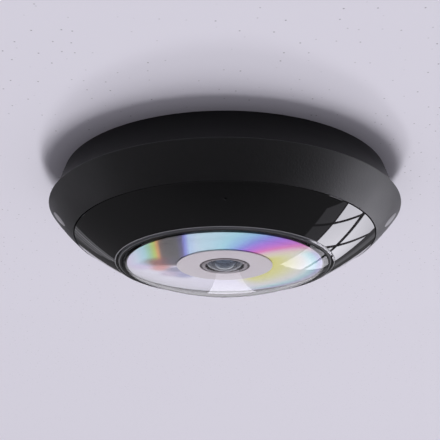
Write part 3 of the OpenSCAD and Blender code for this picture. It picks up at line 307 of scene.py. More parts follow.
# From the lip inwards: the seat of the clear ring and the dome, its underside, and the wall up to the seam
face_inside = [[face_to[0], seat_at], [46, seat_at], [46, 42.22], [59.01, 42.22], [74.7, 32.14],
               [74.7, 31.05], [face_from[0], 31.05]]
print("the face has", len(share), "points down its slope")

# %% Face mesh
mic_at = bowed(face_from, face_to, face_bow, [mic_share])[0]
mic_tilt = np.arctan2(*(face_to - face_from)[::-1] * [1, -1])
mic_angles = np.radians([-180, -90, 0, 90])
steps = np.radians([-1.25, -0.9, -0.6, -0.3, 0, 0.3, 0.6, 0.9, 1.25])
window_half = (steps[-1], 0.7)
face_angles = np.unique(np.round(np.concatenate([circle, *(m + steps for m in mic_angles)]), 7))
mic_cells = [(m, mic_at[1]) for m in mic_angles]
keep = np.all([window_keep(face_angles, face_line[:, 1], c, *window_half) for c in mic_cells], axis=0)
face_skins = [skin(turned(face_line, face_angles), keep),
              skin(turned(np.concatenate([[face_to], face_inside, face_line[:1]]), face_angles))]
face_skins += [let_in(face_angles, face_line[:, 1], face_r, c, *window_half, mic_tilt, pinhole_r,
                      pinhole_deep, pinhole_ease) for c in mic_cells]
tube_in, tube_out, tube_from, tube_to = 2.5, 3.23, 2.3, 4.07
boot_tube = turned([[tube_in, tube_from], [tube_out, tube_from], [tube_out, tube_to], [tube_in, tube_to],
                    [tube_in, tube_from]], np.linspace(-np.pi, np.pi, 49))
face_skins += [skin(stood(boot_tube, mic_at, m, mic_tilt)) for m in mic_angles]
face = weld("face", face_skins, "camera", ["face_plate"], sharp=25)
print("pinholes at", mic_at.round(2), "tilt", round(float(np.degrees(mic_tilt)), 1))

# %% [markdown]
# ## The clear ring and the dome
#
# Both are clear mouldings with a real thickness. The light bends once on its way in and once on its way out,
# and the pale lines at their edges come from that, so each is a closed body and not a sheet. The dome is a
# shallow cap between two spheres on a short foot. Its wall is half as thick as the solid's, so that it blurs
# the disc less.

# %% Ring and dome
close = lambda outline: np.concatenate([outline, outline[:1]])
guide_out, guide_in = 57.4, 54.98
guide_line = eased([[guide_out, seat_at], [guide_out, lip_at], [guide_in, 46.39], [guide_in, seat_at]],
                   [0.1, 0.3, 0.2, 0.1])
ring = weld("clear_ring", [skin(turned(close(guide_line)))], "camera", ["light_ring"])


def cap(radius, apex, r):
    """The depth of a sphere at the distance r from the axis: apex - radius + sqrt(radius^2 - r^2)."""
    return np.stack([r, apex - radius + np.sqrt(radius ** 2 - r ** 2)], axis=1)


dome_r, dome_apex, dome_wall, foot_out, foot_in = 128.549, 58.5, 1.2, 54.05, 51.6
dome_out = cap(dome_r, dome_apex, foot_out * np.sin(np.linspace(0, np.pi / 2, 40)))
dome_in = cap(dome_r - dome_wall, dome_apex - dome_wall, foot_in * np.sin(np.linspace(np.pi / 2, 0, 36)))
foot = eased([[foot_out, 46.5], [foot_out, seat_at], [foot_in, seat_at], [foot_in, 46.3]], [0, 0.1, 0.1, 0])
dome = weld("dome", [skin(turned(np.concatenate([dome_out, foot, dome_in])))], "camera",
            ["dome_window"])

# %% [markdown]
# ## The lens: bezel, front ring and front glass
#
# A satin ring surrounds the lens on the mirror disc. Inside it is the lens's own black front ring: a lip
# holds the bulging front glass, and a step at the foot leaves a dark groove towards the satin ring. The glass
# is a closed body between an outer sphere and a hollow behind it, as a real fisheye front element is.

# %% Lens pieces
bezel_in, bezel_out, bezel_top = 13.1, 25, 46.43
bezel_line = eased([[bezel_in, 44.75], [24.1, 44.75], [24.1, 46.03], [bezel_out, 46.03],
                    [bezel_out, bezel_top], [bezel_in, bezel_top]], [0.1, 0.1, 0.05, 0.1, 0.15, 0.15])
bezel = weld("bezel", [skin(turned(close(bezel_line)))], "camera", ["lens_bezel"])
ring_line = eased([[10.58, 44.63], [12.8, 44.63], [12.8, 45.2], [12.05, 45.2], [12.05, bezel_top],
                   [10.2, bezel_top], [10.2, 46.13], [10.58, 45.53]],
                  [0.05, 0.05, 0.05, 0.05, 0.12, 0.1, 0.08, 0.05])
front_ring = weld("lens_ring", [skin(turned(close(ring_line)))], "camera", ["lens_front_ring"])
glass_r, hollow_r, glass_back = 10.5, 7.13, 41.88
glass_out = cap(17, 48.56, glass_r * np.sin(np.linspace(0, np.pi / 2, 32)))
glass_in = cap(7.6, 46.86, hollow_r * np.sin(np.linspace(np.pi / 2, 0, 32)))
rim = eased([[glass_r, 44.9], [glass_r, glass_back], [hollow_r, glass_back]], [0, 0.15, 0])
front_glass = weld("front_glass", [skin(turned(np.concatenate([glass_out, rim, glass_in])))], "camera",
                   ["front_element"])

# %% [markdown]
# ## Tools for the finishes
#
# A finish is a small network of nodes. One function adds a node, so that a network reads from top to bottom
# like a recipe. Patterns are measured in millimetres on the object: Object coordinates are in metres here, so
# a grain of 0.5 mm is a noise with a scale of 1000 / 0.5.

# %% Colour and node
def linear(code):
    """sRGB to linear: c / 12.92 below 0.04045, else ((c + 0.055) / 1.055) to the power 2.4."""
    c = np.array([int(code[i:i + 2], 16) for i in (1, 3, 5)]) / 255
    return (*np.where(c <= 0.04045, c / 12.92, ((c + 0.055) / 1.055) ** 2.4).tolist(), 1.0)


def add(tree, kind, own=None, **ins):
    """Adds a node. `own` are its own settings; every other word is an input, by name or as i0, i1: an output
    is linked to it and a value is set on it."""
    made = tree.nodes.new("ShaderNode" + kind)
    for name, value in (own or {}).items():
        setattr(made, name, value)
    for name, value in ins.items():
        plug = made.inputs[int(name[1:])] if name[1:].isdigit() else made.inputs[name.replace("_", " ")]
        if isinstance(value, bpy.types.NodeSocket):
            tree.links.new(value, plug)
        else:
            plug.default_value = value
    return made


print("middle grey is", round(linear("#808080")[0], 3), "in linear light")

# %% Steps that repeat
per_mm = lambda mm: 1000 / mm
output_of = lambda tree: next(n for n in tree.nodes if n.type == "OUTPUT_MATERIAL").inputs[0]


def spread(tree, value, low, high, to_low=0.0, to_high=1.0, smooth=False):
    """Takes a value that runs from low to high to one that runs from to_low to to_high, held beyond both
    ends."""
    own = {"interpolation_type": "SMOOTHSTEP" if smooth else "LINEAR"}
    return add(tree, "MapRange", own, Value=value, From_Min=low, From_Max=high, To_Min=to_low,
               To_Max=to_high).outputs[0]


def reckon(tree, operation, a, b):
    """One step of arithmetic on two values."""
    return add(tree, "Math", {"operation": operation}, i0=a, i1=b).outputs[0]


def mixed_paint(tree, share, a, b):
    """Colour a where the share is 0, and colour b where it is 1."""
    return add(tree, "Mix", {"data_type": "RGBA"}, i0=share, i6=a, i7=b).outputs[2]


def from_axis(tree, where):
    """How far a place is from the camera's axis: sqrt(x^2 + y^2)."""
    flat = add(tree, "VectorMath", {"operation": "MULTIPLY"}, i0=where, i1=(1, 1, 0)).outputs[0]
    return add(tree, "VectorMath", {"operation": "LENGTH"}, i0=flat).outputs["Value"]


print("a pattern of 0.5 mm has a scale of", per_mm(0.5))

# %% Start of a finish
finishes = {}


def finish(name, **fixed):
    """Starts a finish: its shader, with what is the same all over set on the shader, and Object
    coordinates."""
    made = bpy.data.materials.new(name)
    made.use_nodes = True
    tree = made.node_tree
    tree.nodes.clear()
    shader = add(tree, "BsdfPrincipled", **fixed)
    add(tree, "OutputMaterial", Surface=shader.outputs[0])
    return made, tree, shader, add(tree, "TexCoord").outputs["Object"]


# %% [markdown]
# ## Moulded plastics
#
# A moulded plastic takes the surface of its mould. A spark-eroded mould gives the matte shell its fine grain;
# a polished one gives gloss. Two patterns do it: a fine grain for the bump and a slight change of colour, and
# a slow cloud for the roughness, because no moulding cools quite evenly.

# %% Moulded
def moulded(slot, name, dark, light, rough, grain, height, ior=1.54, swing=0.04, cloud=30, **fixed):
    """A grain of `grain` mm, `height` mm high, mixes dark and light; a cloud of `cloud` mm swings the
    roughness."""
    made, tree, shader, where = finish(name, IOR=ior, **fixed)
    fine = add(tree, "TexNoise", Vector=where, Scale=per_mm(grain), Detail=2.0, Roughness=0.6).outputs[0]
    slow = add(tree, "TexNoise", Vector=where, Scale=per_mm(cloud), Detail=3.0).outputs[0]
    tint = mixed_paint(tree, fine, linear(dark), linear(light))
    sheen = spread(tree, slow, 0.3, 0.7, rough - swing, rough + swing)
    bump = add(tree, "Bump", Strength=1.0, Distance=height / 1000, Height=fine)
    for plug, value in (("Base Color", tint), ("Roughness", sheen), ("Normal", bump.outputs[0])):
        tree.links.new(value, shader.inputs[plug])
    finishes[slot] = made


# ABS from a spark-eroded mould: matte black, with a broad soft highlight. The real grain is about 0.2 mm, and
# it is drawn at 1.1 mm so that it just shows
moulded("matte_black_shell", "abs_spark_eroded", "#08080a", "#171719", 0.46, 1.1, 0.07,
        Specular_IOR_Level=0.95)
# The same ABS with a finer texture on the neck, so it looks smoother. Its colour is painted a shade darker
# than the shell's: painted shade, since the neck faces the ceiling and gets little light
moulded("neck_black", "abs_fine_texture_painted_shade", "#0a0a0b", "#0f0f10", 0.5, 0.4, 0.008, Specular_IOR_Level=0.42)
# Polycarbonate from a polished mould: mirror-like black, with the faint haze of wiping
moulded("gloss_black_face", "polycarbonate_polished", "#040405", "#060607", 0.03, 14, 0.0, 1.585, 0.012, 22,
         Specular_IOR_Level=0.9)
print(len(finishes), "finishes for the outer mouldings")

# %% Inner mouldings
# Glass-filled nylon inside the body: dull, slightly mottled
moulded("frame_black", "nylon_glass_filled", "#121213", "#1d1d1f", 0.6, 0.8, 0.02)
# ABS of the reset button, moulded smoother than the shell
moulded("button_grey", "abs_satin", "#2a2a2c", "#333335", 0.4, 0.35, 0.004)
# PBT of the connectors: cream and waxy
moulded("cream_plastic", "pbt_moulded", "#cfc8b0", "#dad4bf", 0.42, 0.5, 0.006, 1.57)
# Moulded epoxy of the chips: very fine and dull, with a few pale fillers
moulded("chip_black", "epoxy_moulded", "#171717", "#262626", 0.55, 0.15, 0.004, 1.58)
# Rubber of seals, boots and gasket: deep black and dull
moulded("black_rubber", "epdm_rubber", "#0a0a0a", "#121212", 0.7, 0.6, 0.01, 1.5)
# Polyimide film of the lamp strip: amber and glossy
moulded("amber_film", "polyimide_film", "#8f5a18", "#a86d22", 0.25, 2.5, 0.003, 1.7)
# Dark tinted epoxy of the infrared lamps, and the yellow phosphor resin of the ring lamps
moulded("lamp_resin", "epoxy_tinted", "#1e1620", "#2a1f2c", 0.12, 1.5, 0.0, 1.55, 0.03, 4)
moulded("lamp_pale", "silicone_phosphor", "#d8c66a", "#e6d88c", 0.35, 0.3, 0.003, 1.5)
print(len(finishes), "moulded finishes")

# %% [markdown]
# ## Metals
#
# A metal shows how it was cut. A turned ring has fine lines round its axis, so its pattern follows the
# distance from the axis; a rolled or stamped sheet has straight lines, so its noise is stretched one way. The
# lines are too fine to see one by one, and they are drawn wider than they are, so that they still show as a
# sheen.

# %% Metal
def metal(slot, name, dark, light, rough, line, height, stretch=(1, 1, 1), rings=False, swing=0.05, **fixed):
    """Lines `line` mm apart, round the axis where rings is true and else along the stretched noise, mix dark
    and light, and swing the roughness."""
    made, tree, shader, where = finish(name, Metallic=fixed.pop("Metallic", 1.0), **fixed)
    if rings:
        where = add(tree, "CombineXYZ", X=from_axis(tree, where)).outputs[0]
    else:
        where = add(tree, "Mapping", Vector=where, Scale=stretch).outputs[0]
    lines = add(tree, "TexNoise", Vector=where, Scale=per_mm(line), Detail=3.0, Roughness=0.55).outputs[0]
    tint = mixed_paint(tree, lines, linear(dark), linear(light))
    sheen = spread(tree, lines, 0.3, 0.7, rough - swing, rough + swing)
    bump = add(tree, "Bump", Strength=1.0, Distance=height / 1000, Height=lines)
    for plug, value in (("Base Color", tint), ("Roughness", sheen), ("Normal", bump.outputs[0])):
        tree.links.new(value, shader.inputs[plug])
    finishes[slot] = made


# Aluminium, turned and then lacquered: pale satin grey with a hint of turning lines
metal("satin_bezel", "aluminium_satin_lacquered", "#ada6a9", "#bdb6b9", 0.34, 0.5, 0.004, rings=True,
      Metallic=0.6)
# The same metal, punched from sheet for the side inlays
metal("plain_disc", "aluminium_punched_lacquered", "#9a989c", "#aeacb0", 0.38, 0.6, 0.003, (1, 1, 6),
      Metallic=0.4)
# Aluminium under black satin lacquer: near black from the front, and paler where it is seen at a low angle
metal("lens_black", "aluminium_black_lacquered", "#3e3437", "#4c4145", 0.2, 0.3, 0.003, rings=True,
      Metallic=0.25, Specular_IOR_Level=1.0)
# Die-cast aluminium under powder coat: black, with the orange peel of melted powder
metal("cast_black", "die_cast_powder_coated", "#141415", "#1f1f21", 0.5, 1.4, 0.03, Metallic=0.0)
print(len(finishes), "finishes so far")

# %% Metals inside
# Zinc-plated steel screws: grey, slightly yellow-blue
metal("steel_screw", "steel_zinc_plated", "#85868c", "#a3a3a6", 0.3, 0.3, 0.002)
# Stamped spring steel and the plated shield of the jack
metal("steel_part", "steel_stamped_nickel_plated", "#94949a", "#b0afb1", 0.28, 0.4, 0.002, (6, 1, 1))
# Turned brass, plated thinly, so it keeps its yellow
metal("brass_part", "brass_turned", "#b3924c", "#c9a965", 0.27, 0.25, 0.002)
# Can of the capacitors: aluminium under a thin sleeve
metal("capacitor_can", "aluminium_sleeved_can", "#55575f", "#6a6c74", 0.35, 0.5, 0.002, (1, 1, 5))
print(len(finishes), "finishes so far")

# %% [markdown]
# ## Boards, winding, pad and foam
#
# These lie inside the body, where only a cut or an opened model shows them. A circuit board is copper tracks
# under a solder mask: bricks without mortar make the copper fields, and the mask is darker where there is no
# copper. A winding is round wires side by side, so a sine across them gives both the bump and a painted
# highlight on each wire's crown. Foam and silicone are soft: their cells come from a Voronoi pattern.

# %% Board
def board(slot, name, mask, over_copper):
    """Fields of 2.4 by 1 mm, split by gaps of 0.3 mm, and round pads 1.3 mm apart under a solder mask."""
    made, tree, shader, where = finish(name, IOR=1.55, Roughness=0.32)
    bricks = add(tree, "TexBrick", {"offset": 0.5}, Vector=where, Scale=per_mm(1), Mortar_Size=0.15,
                 Brick_Width=2.4, Row_Height=1.0, Mortar_Smooth=0.2)
    pads = add(tree, "TexVoronoi", Vector=where, Scale=per_mm(2.6), Randomness=0.3).outputs[0]
    round_pad = spread(tree, pads, 0.12, 0.16, 1.0, 0.0)
    copper = reckon(tree, "MULTIPLY", bricks.outputs["Fac"], 0.7)
    tint = mixed_paint(tree, copper, linear(over_copper), linear(mask))
    tint = mixed_paint(tree, round_pad, tint, linear("#b9b4a0"))
    step = add(tree, "Bump", {"invert": True}, Strength=1.0, Distance=0.00003, Height=copper)
    tree.links.new(tint, shader.inputs["Base Color"])
    tree.links.new(step.outputs[0], shader.inputs["Normal"])
    finishes[slot] = made


# FR4 under green solder mask, and under black mask for the lamp board
board("board_green", "fr4_green_solder_mask", "#0d3d22", "#1b5c36")
board("board_black", "fr4_black_solder_mask", "#0c0c0d", "#1a1a1c")
print(len(finishes), "finishes so far")


# %% Winding
def wound(slot, name, dark, light, wire):
    """Round wires `wire` mm apart across X: the light colour follows half a sine wave, raised to its crowns,
    as a painted highlight on each wire.
    """
    made, tree, shader, where = finish(name, IOR=1.6, Roughness=0.25, Metallic=0.7)
    waves = add(tree, "TexWave", {"bands_direction": "X", "wave_profile": "SIN"}, Vector=where,
                Scale=per_mm(wire) / 20, Distortion=0.4, Detail=1.0).outputs[1]
    tint = mixed_paint(tree, waves, linear(dark), linear(light))
    bump = add(tree, "Bump", Strength=1.0, Distance=wire / 4000, Height=waves)
    tree.links.new(tint, shader.inputs["Base Color"])
    tree.links.new(bump.outputs[0], shader.inputs["Normal"])
    finishes[slot] = made


# Enamelled copper wire, drawn coarser than its 0.08 mm, so that the turns show
wound("copper_coil", "copper_enamelled_winding", "#5e2d12", "#b5682f", 0.2)
print(len(finishes), "finishes so far")


# %% Foam and pad
def celled(slot, name, dark, light, rough, cell, height):
    """Cells `cell` mm wide, `height` mm deep: the distance to the nearest cell's middle gives the colour and
    bump."""
    made, tree, shader, where = finish(name, IOR=1.45, Roughness=rough)
    cells = add(tree, "TexVoronoi", Vector=where, Scale=per_mm(cell)).outputs[0]
    tint = mixed_paint(tree, cells, linear(light), linear(dark))
    bump = add(tree, "Bump", {"invert": True}, Strength=1.0, Distance=height / 1000, Height=cells)
    tree.links.new(tint, shader.inputs["Base Color"])
    tree.links.new(bump.outputs[0], shader.inputs["Normal"])
    finishes[slot] = made


# Closed-cell EVA foam against the ceiling, and the silicone pad with its pressed weave
celled("foam", "eva_closed_cell_foam", "#111112", "#242426", 0.85, 0.6, 0.08)
celled("thermal_pad", "silicone_pressed_pad", "#5a6f86", "#71869b", 0.6, 0.9, 0.03)
print(len(finishes), "finishes so far")

# %% [markdown]
# ## Clear plastics and glass
#
# Light bends in a clear body, and the shader's transmission does that. The shadows need help: a path tracer
# would leave the inside dark, because a lamp's light is looked for along straight lines. So where a shadow is
# being looked for, the body counts as see-through. A faint cloud in the roughness stands for dust and wiping.

# %% Clear
def clear(slot, name, tint, ior, haze, let_by="#ffffff", **fixed):
    """Glass that lets lamps through: full transmission, with a roughness that a cloud of 9 mm swings up to
    the haze, mixed with a see-through shader for shadows."""
    made, tree, shader, where = finish(name, Base_Color=linear(tint), Transmission_Weight=1.0, IOR=ior,
                                       **fixed)
    cloud = add(tree, "TexNoise", Vector=where, Scale=per_mm(9), Detail=4.0).outputs[0]
    sheen = spread(tree, cloud, 0.45, 0.8, 0.0, haze)
    tree.links.new(sheen, shader.inputs["Roughness"])
    shadow = add(tree, "LightPath").outputs["Is Shadow Ray"]
    open_way = add(tree, "BsdfTransparent", Color=linear(let_by)).outputs[0]
    mixed = add(tree, "MixShader", i0=shadow, i1=shader.outputs[0], i2=open_way).outputs[0]
    tree.links.new(mixed, output_of(tree))
    finishes[slot] = made


# Acrylic, injection moulded and polished: the dome, and the ring that spreads the light of its lamps. The
# dome's IOR is matched to the photograph: acrylic's own 1.49 mirrors the room so strongly that the disc fades
# behind it
clear("clear_dome", "acrylic_clear_polished", "#fdfdfe", 1.2, 0.02, Specular_IOR_Level=0.2)
clear("clear_ring", "acrylic_clear_moulded", "#f2f4f6", 1.49, 0.12, "#e8eaee")
print(len(finishes), "finishes so far")

# %% Painted highlight on the rims of the clear ring
# Both rims are painted matt pale grey: a painted highlight for the thin pale line of light at each edge.
# Radii in mm
highlight_out_r, highlight_in_r, highlight_soft = 57.0, 55.3, 0.05
tree = finishes["clear_ring"].node_tree
output = output_of(tree)
far = from_axis(tree, add(tree, "TexCoord").outputs["Object"])
outer = spread(tree, far, highlight_out_r / 1000, (highlight_out_r + highlight_soft) / 1000)
inner = spread(tree, far, highlight_in_r / 1000, (highlight_in_r - highlight_soft) / 1000, 0.0, 0.6)
rims = reckon(tree, "MAXIMUM", outer, inner)
# A matt pale grey shader: the painted highlight on the rims
rim_highlight_paint = add(tree, "BsdfDiffuse", Color=linear("#a3a2a8")).outputs[0]
mixed = add(tree, "MixShader", i0=rims, i1=output.links[0].from_socket, i2=rim_highlight_paint).outputs[0]
tree.links.new(mixed, output)
print("the ring's finish has", len(tree.nodes), "nodes")

# %% Lens and filter glass
# Optical glass, ground and coated: the coating leaves a violet-blue reflection
clear("lens_glass", "optical_glass_coated", "#e6eef0", 1.62, 0.01, "#dfe8f2", Specular_Tint=linear("#a4b8e0"),
      Specular_IOR_Level=0.3)
# Filter glass with a dichroic layer: passes blue-green, mirrors the infrared red
clear("filter_glass", "dichroic_filter_glass", "#a9dde0", 1.52, 0.02, "#a9dde0",
      Specular_Tint=linear("#ff9aa8"))
print(len(finishes), "finishes so far")

# %% [markdown]
# ## The mirror disc
#
# The disc under the dome is moulded with a very fine spiral and coated with a mirror, like an optical disc.
# Its grooves are as close as waves of light, so each direction mirrors another colour, in fans that run out
# from the centre. Real interference would follow the viewer, which a surface colour must not do. So the fans
# are painted where the photograph's light puts them: a colour ramp goes round by angle, and its colours drift
# a little with the distance from the centre. Where the disc mirrors a plain wall it is nearly white. The
# colours of each ramp are few. They were chosen, and put right by comparing renders with the
# photograph.

# %% Start of the disc's finish
made, tree, shader, where = finish("polycarbonate_disc_mirror_coated", Metallic=0.85)
part_xyz = add(tree, "SeparateXYZ", Vector=where)
x, y = part_xyz.outputs[0], part_xyz.outputs[1]
angle = reckon(tree, "ARCTAN2", y, x)
far = from_axis(tree, where)
print("disc finish started")


def ramp(value, stops, unit, drift=None):
    """A colour ramp over a value, with its stops as (value in the given unit, colour). A drift moves it
    along, as a share of the whole ramp."""
    first, last = stops[0][0], stops[-1][0]
    place = spread(tree, value, first * unit, last * unit)
    if drift is not None:
        place = reckon(tree, "ADD", place, drift)
    node = add(tree, "ValToRGB", Fac=place)
    bands = node.color_ramp.elements
    bands[0].color, bands[1].color = linear(stops[0][1]), linear(stops[-1][1])
    for at, code in stops[1:-1]:
        bands.new((at - first) / (last - first)).color = linear(code)
    return node.outputs[0]


# %% Fans
# Painted reflection colours round the near side, in degrees from +X (right) to +Y (away)
fan_stops = [(-125, "#cbdce6"), (-112, "#bcdae2"), (-100, "#b4dae2"), (-88, "#9ed6e0"), (-78, "#86b8e0"),
             (-69, "#7c80dc"), (-60, "#a45cda"), (-52, "#c65acc"), (-46, "#dc68b8"), (-41, "#dca8c2"),
             (-35, "#dccaba"), (-25, "#dad6b0")]
drift = spread(tree, far, 0.025, 0.05, 0.06, -0.06)
fans = ramp(angle, fan_stops, np.radians(1), drift)
print(len(fan_stops), "colours in the fans")

# %% Rings
# On the right and far side the painted reflection colours have spread into rings, in mm from the centre
ring_stops = [(25, "#d4d05a"), (30, "#d8d57c"), (35, "#dad8a8"), (41, "#dad9d0"), (44.5, "#bcdcda"),
              (47, "#88c6cc"), (49.5, "#8c8ac0"), (51.5, "#b4b2ca")]
rings = ramp(far, ring_stops, 0.001)
# Nearly white: a painted reflection of a plain wall, on the far side and on the left of the far half
pale = linear("#e0dee8")
far_share = spread(tree, angle, np.radians(55), np.radians(80), smooth=True)
rings = mixed_paint(tree, far_share, rings, pale)
right_share = spread(tree, angle, np.radians(-36), np.radians(-22), smooth=True)
fans = mixed_paint(tree, right_share, fans, rings)
print(len(ring_stops), "colours in the rings")

# %% Bands
# Across the left of the near side the painted reflection colours lie so steeply that they show as bands of
# one x, in mm. Their darkest bands are a painted reflection of the dark room
band_stops = [(-50, "#dcd4ea"), (-45, "#c4d6e4"), (-41, "#a6d4dc"), (-38, "#90c8a0"), (-35.4, "#b0c63c"),
              (-33.6, "#cc8c34"), (-32, "#5c3a28"), (-30, "#2a221a"), (-24, "#1e1c1a"), (-21.4, "#3a3470"),
              (-19.8, "#7880d4"), (-17.6, "#b0cce6"), (-10, "#cbdce6")]
left = ramp(x, band_stops, 0.001)
near_side = spread(tree, y, -0.003, 0.002, 1.0, 0.0, smooth=True)
left_side = spread(tree, x, -0.017, -0.011, 1.0, 0.0, smooth=True)
in_bands = reckon(tree, "MULTIPLY", near_side, left_side)
beyond = spread(tree, x, -0.016, -0.008, 1.0, 0.0, smooth=True)
far_side = reckon(tree, "SUBTRACT", 1.0, near_side)
far_left = reckon(tree, "MULTIPLY", beyond, far_side)
colours = mixed_paint(tree, far_left, fans, pale)
colours = mixed_paint(tree, in_bands, colours, left)
print(len(band_stops), "colours in the bands")

# %% Soft patches and grooves
# Where the bands end they run out in soft patches of painted reflection colour, from deep red to violet:
# place and radius in mm, colour, amount
patches = [((-33.5, -4), 12.0, "#7c0a0c", 0.95), ((-26, -6), 9.0, "#120c34", 0.9),
           ((-34, 5), 8.0, "#d07868", 0.75), ((-26, 8), 8.0, "#66668c", 0.8),
           ((-22, 17), 9.0, "#7a7cac", 0.75), ((-30, 15), 8.0, "#b096b4", 0.5),
           ((-44, 2), 9.0, "#c4b0e0", 0.5)]
disc_z = -0.0459
for spot, radius, code, amount in patches:
    spot = (spot[0] / 1000, spot[1] / 1000, disc_z)
    reach = add(tree, "VectorMath", {"operation": "DISTANCE"}, i0=where, i1=spot)
    reach = spread(tree, reach.outputs["Value"], radius / 5000, radius / 1000, amount, 0.0, smooth=True)
    colours = mixed_paint(tree, reach, colours, linear(code))
# The spiral, drawn far coarser than its 1.6 thousandths of a millimetre, as rings 0.6 mm apart
grooves = add(tree, "TexNoise", {"noise_dimensions": "1D"}, W=far, Scale=per_mm(0.6), Detail=3.0).outputs[0]
streaks = spread(tree, grooves, 0.3, 0.7, 0.12, 0.2)
tree.links.new(colours, shader.inputs["Base Color"])
tree.links.new(streaks, shader.inputs["Roughness"])
bump = add(tree, "Bump", Strength=1.0, Distance=0.000002, Height=grooves).outputs[0]
tree.links.new(bump, shader.inputs["Normal"])
finishes["mirror_disc"] = made
print("the disc has", len(tree.nodes), "nodes")

# %% [markdown]
# ## Each piece gets its finish
#
# The record of the model names a material slot for every node, so the finishes go on by slot: first on the
# solid nodes that stay, then on the new pieces.

# %% Put the finishes on
slot_of = {row["node"]: row["material_slot"] for row in frame["record"]["subparts"]}
for name, node in nodes.items():
    for place in node.material_slots:
        place.material = finishes[slot_of[name]]
for piece, slot in ((shell, "matte_black_shell"), (inlays, "plain_disc"), (face, "gloss_black_face"),
                    (ring, "clear_ring"), (dome, "clear_dome"), (bezel, "satin_bezel"),
                    (front_ring, "lens_black"), (front_glass, "lens_glass")):
    piece.data.materials.append(finishes[slot])
print(len(slot_of), "nodes dressed in", len(set(slot_of.values())), "finishes")

# %% [markdown]
# ## The ceiling
#
# The camera hangs under a pale ceiling, so the ceiling is this scene's floor: it closes the view and takes
# the shadow. It has a hole where the neck stands, so that the back can be seen from above, and its upper side
# is see-through to the camera.

# %% Ceiling
neck_r, ceiling_r = 85.5, 6000
reach = np.concatenate([[neck_r], np.geomspace(95, ceiling_r, 14)])
ceiling_grid, ceiling_faces = skin(turned(np.stack([reach, np.full_like(reach, -0.1)], 1)))
ceiling_mesh = bpy.data.meshes.new("ceiling")
ceiling_mesh.from_pydata((ceiling_grid / 1000).tolist(), [], ceiling_faces.tolist())
ceiling = bpy.data.objects.new("ceiling", ceiling_mesh)
bpy.context.scene.collection.objects.link(ceiling)
print("ceiling from", neck_r, "to", ceiling_r, "mm")

# %% Ceiling finish
# Painted plaster: matt, with dark specks under a millimetre wide in some of its 8 mm cells, as a cloud of 70
# mm picks
made, tree, shader, where = finish("plaster_painted", Roughness=0.9, IOR=1.45)
specks = add(tree, "TexVoronoi", {"voronoi_dimensions": "2D"}, Vector=where, Scale=per_mm(8))
crowded = add(tree, "TexNoise", Vector=where, Scale=per_mm(70), Detail=1.0).outputs[0]
crowded = reckon(tree, "ADD", specks.outputs["Color"], crowded)
strong = spread(tree, crowded, 0.95, 1.3, 0.0, 0.75)
specks = spread(tree, specks.outputs["Distance"], 0.03, 0.06, strong, 0.0)
paint = mixed_paint(tree, specks, linear("#d5d2dd"), linear("#77747c"))
tree.links.new(paint, shader.inputs["Base Color"])
behind = add(tree, "NewGeometry").outputs["Backfacing"]
seen = add(tree, "LightPath").outputs["Is Camera Ray"]
upper = reckon(tree, "MULTIPLY", behind, seen)
open_way = add(tree, "BsdfTransparent").outputs[0]
mixed = add(tree, "MixShader", i0=upper, i1=shader.outputs[0], i2=open_way).outputs[0]
tree.links.new(mixed, output_of(tree))
ceiling_mesh.materials.append(made)
print("ceiling faces", ceiling_mesh.polygons[0].normal[:])

# %% [markdown]
# ## What the gloss mirrors
#
# A gloss black face shows almost nothing but its surroundings. So a tall window with bars, a dark room and a
# few pale walls stand round the camera. Only mirrors and clear pieces see them, and they light nothing. They
# glow, and their strength is given point by point, because the sky in a window and the floor of a room aren't
# even. The window stands upright, 1.6 m away.

# %% Glow
glow_behind_dome = 0.92


def glowing(name, points, faces, strengths, finish_name, code):
    """Makes a glowing stage piece, in metres, with a strength at each point. Light that has gone through the
    dome meets a level glow instead: the disc is a mirror, and a bright window would clip it to white."""
    mesh = bpy.data.meshes.new(name)
    mesh.from_pydata(points.tolist(), [], faces.tolist())
    mesh.attributes.new("strength", "FLOAT", "POINT").data.foreach_set("value", np.float32(strengths))
    made = bpy.data.materials.new(finish_name)
    made.use_nodes = True
    tree = made.node_tree
    tree.nodes.clear()
    passed = add(tree, "LightPath").outputs["Transmission Depth"]
    power = add(tree, "Attribute", {"attribute_name": "strength"}).outputs["Fac"]
    power = add(tree, "Mix", i0=passed, i2=power, i3=glow_behind_dome).outputs[0]
    light = add(tree, "Emission", Color=linear(code), Strength=power)
    add(tree, "OutputMaterial", Surface=light.outputs[0])
    mesh.materials.append(made)
    piece = bpy.data.objects.new(name, mesh)
    bpy.context.scene.collection.objects.link(piece)
    piece.visible_camera = piece.visible_diffuse = piece.visible_shadow = False
    print(name, len(mesh.polygons), "faces, strength", np.round([min(strengths), max(strengths)], 2))


fours = lambda points: np.arange(len(points)).reshape(-1, 4)
print("seen through the dome the glow is", glow_behind_dome)

# %% Lines of the window
azimuth, distance = np.radians(48), 1.6
along = np.array([-np.sin(azimuth), np.cos(azimuth), 0])
foot_of = distance * np.array([np.cos(azimuth), np.sin(azimuth), 0])
# Upright bars lean a little, and the level bar runs slightly askew, as lines across the window's plane in
# metres
bar_1 = lambda z: -0.075 + 0.124 * z
bar_2 = lambda z: 0.31 + 0.175 * z
level = lambda t: -0.757 + 0.15 * t
thin = 0.017
columns = [(lambda z: -0.62, lambda z: bar_1(z) - thin),
           (lambda z: bar_1(z) + thin, lambda z: bar_2(z) - thin),
           (lambda z: bar_2(z) + thin, lambda z: 0.66)]
print(len(columns), "columns of panes")


# %% Window
def pane(left, right_side, low, high, low_strength, high_strength):
    """Four corners of a pane, each with its strength: each side is a line over z, and low and high are lines
    over t."""
    corner = lambda side, end: (side(end(side(-0.76))), end(side(-0.76)))
    return [(*corner(left, low), low_strength), (*corner(right_side, low), low_strength),
            (*corner(right_side, high), high_strength), (*corner(left, high), high_strength)]


panes = [pane(*column, lambda t: -1.26, lambda t: level(t) - 2 * thin, 4.9, 4.25) for column in columns]
panes += [pane(*column, lambda t: level(t) + 2 * thin, lambda t: -0.31, 4.2, 2.2) for column in columns]
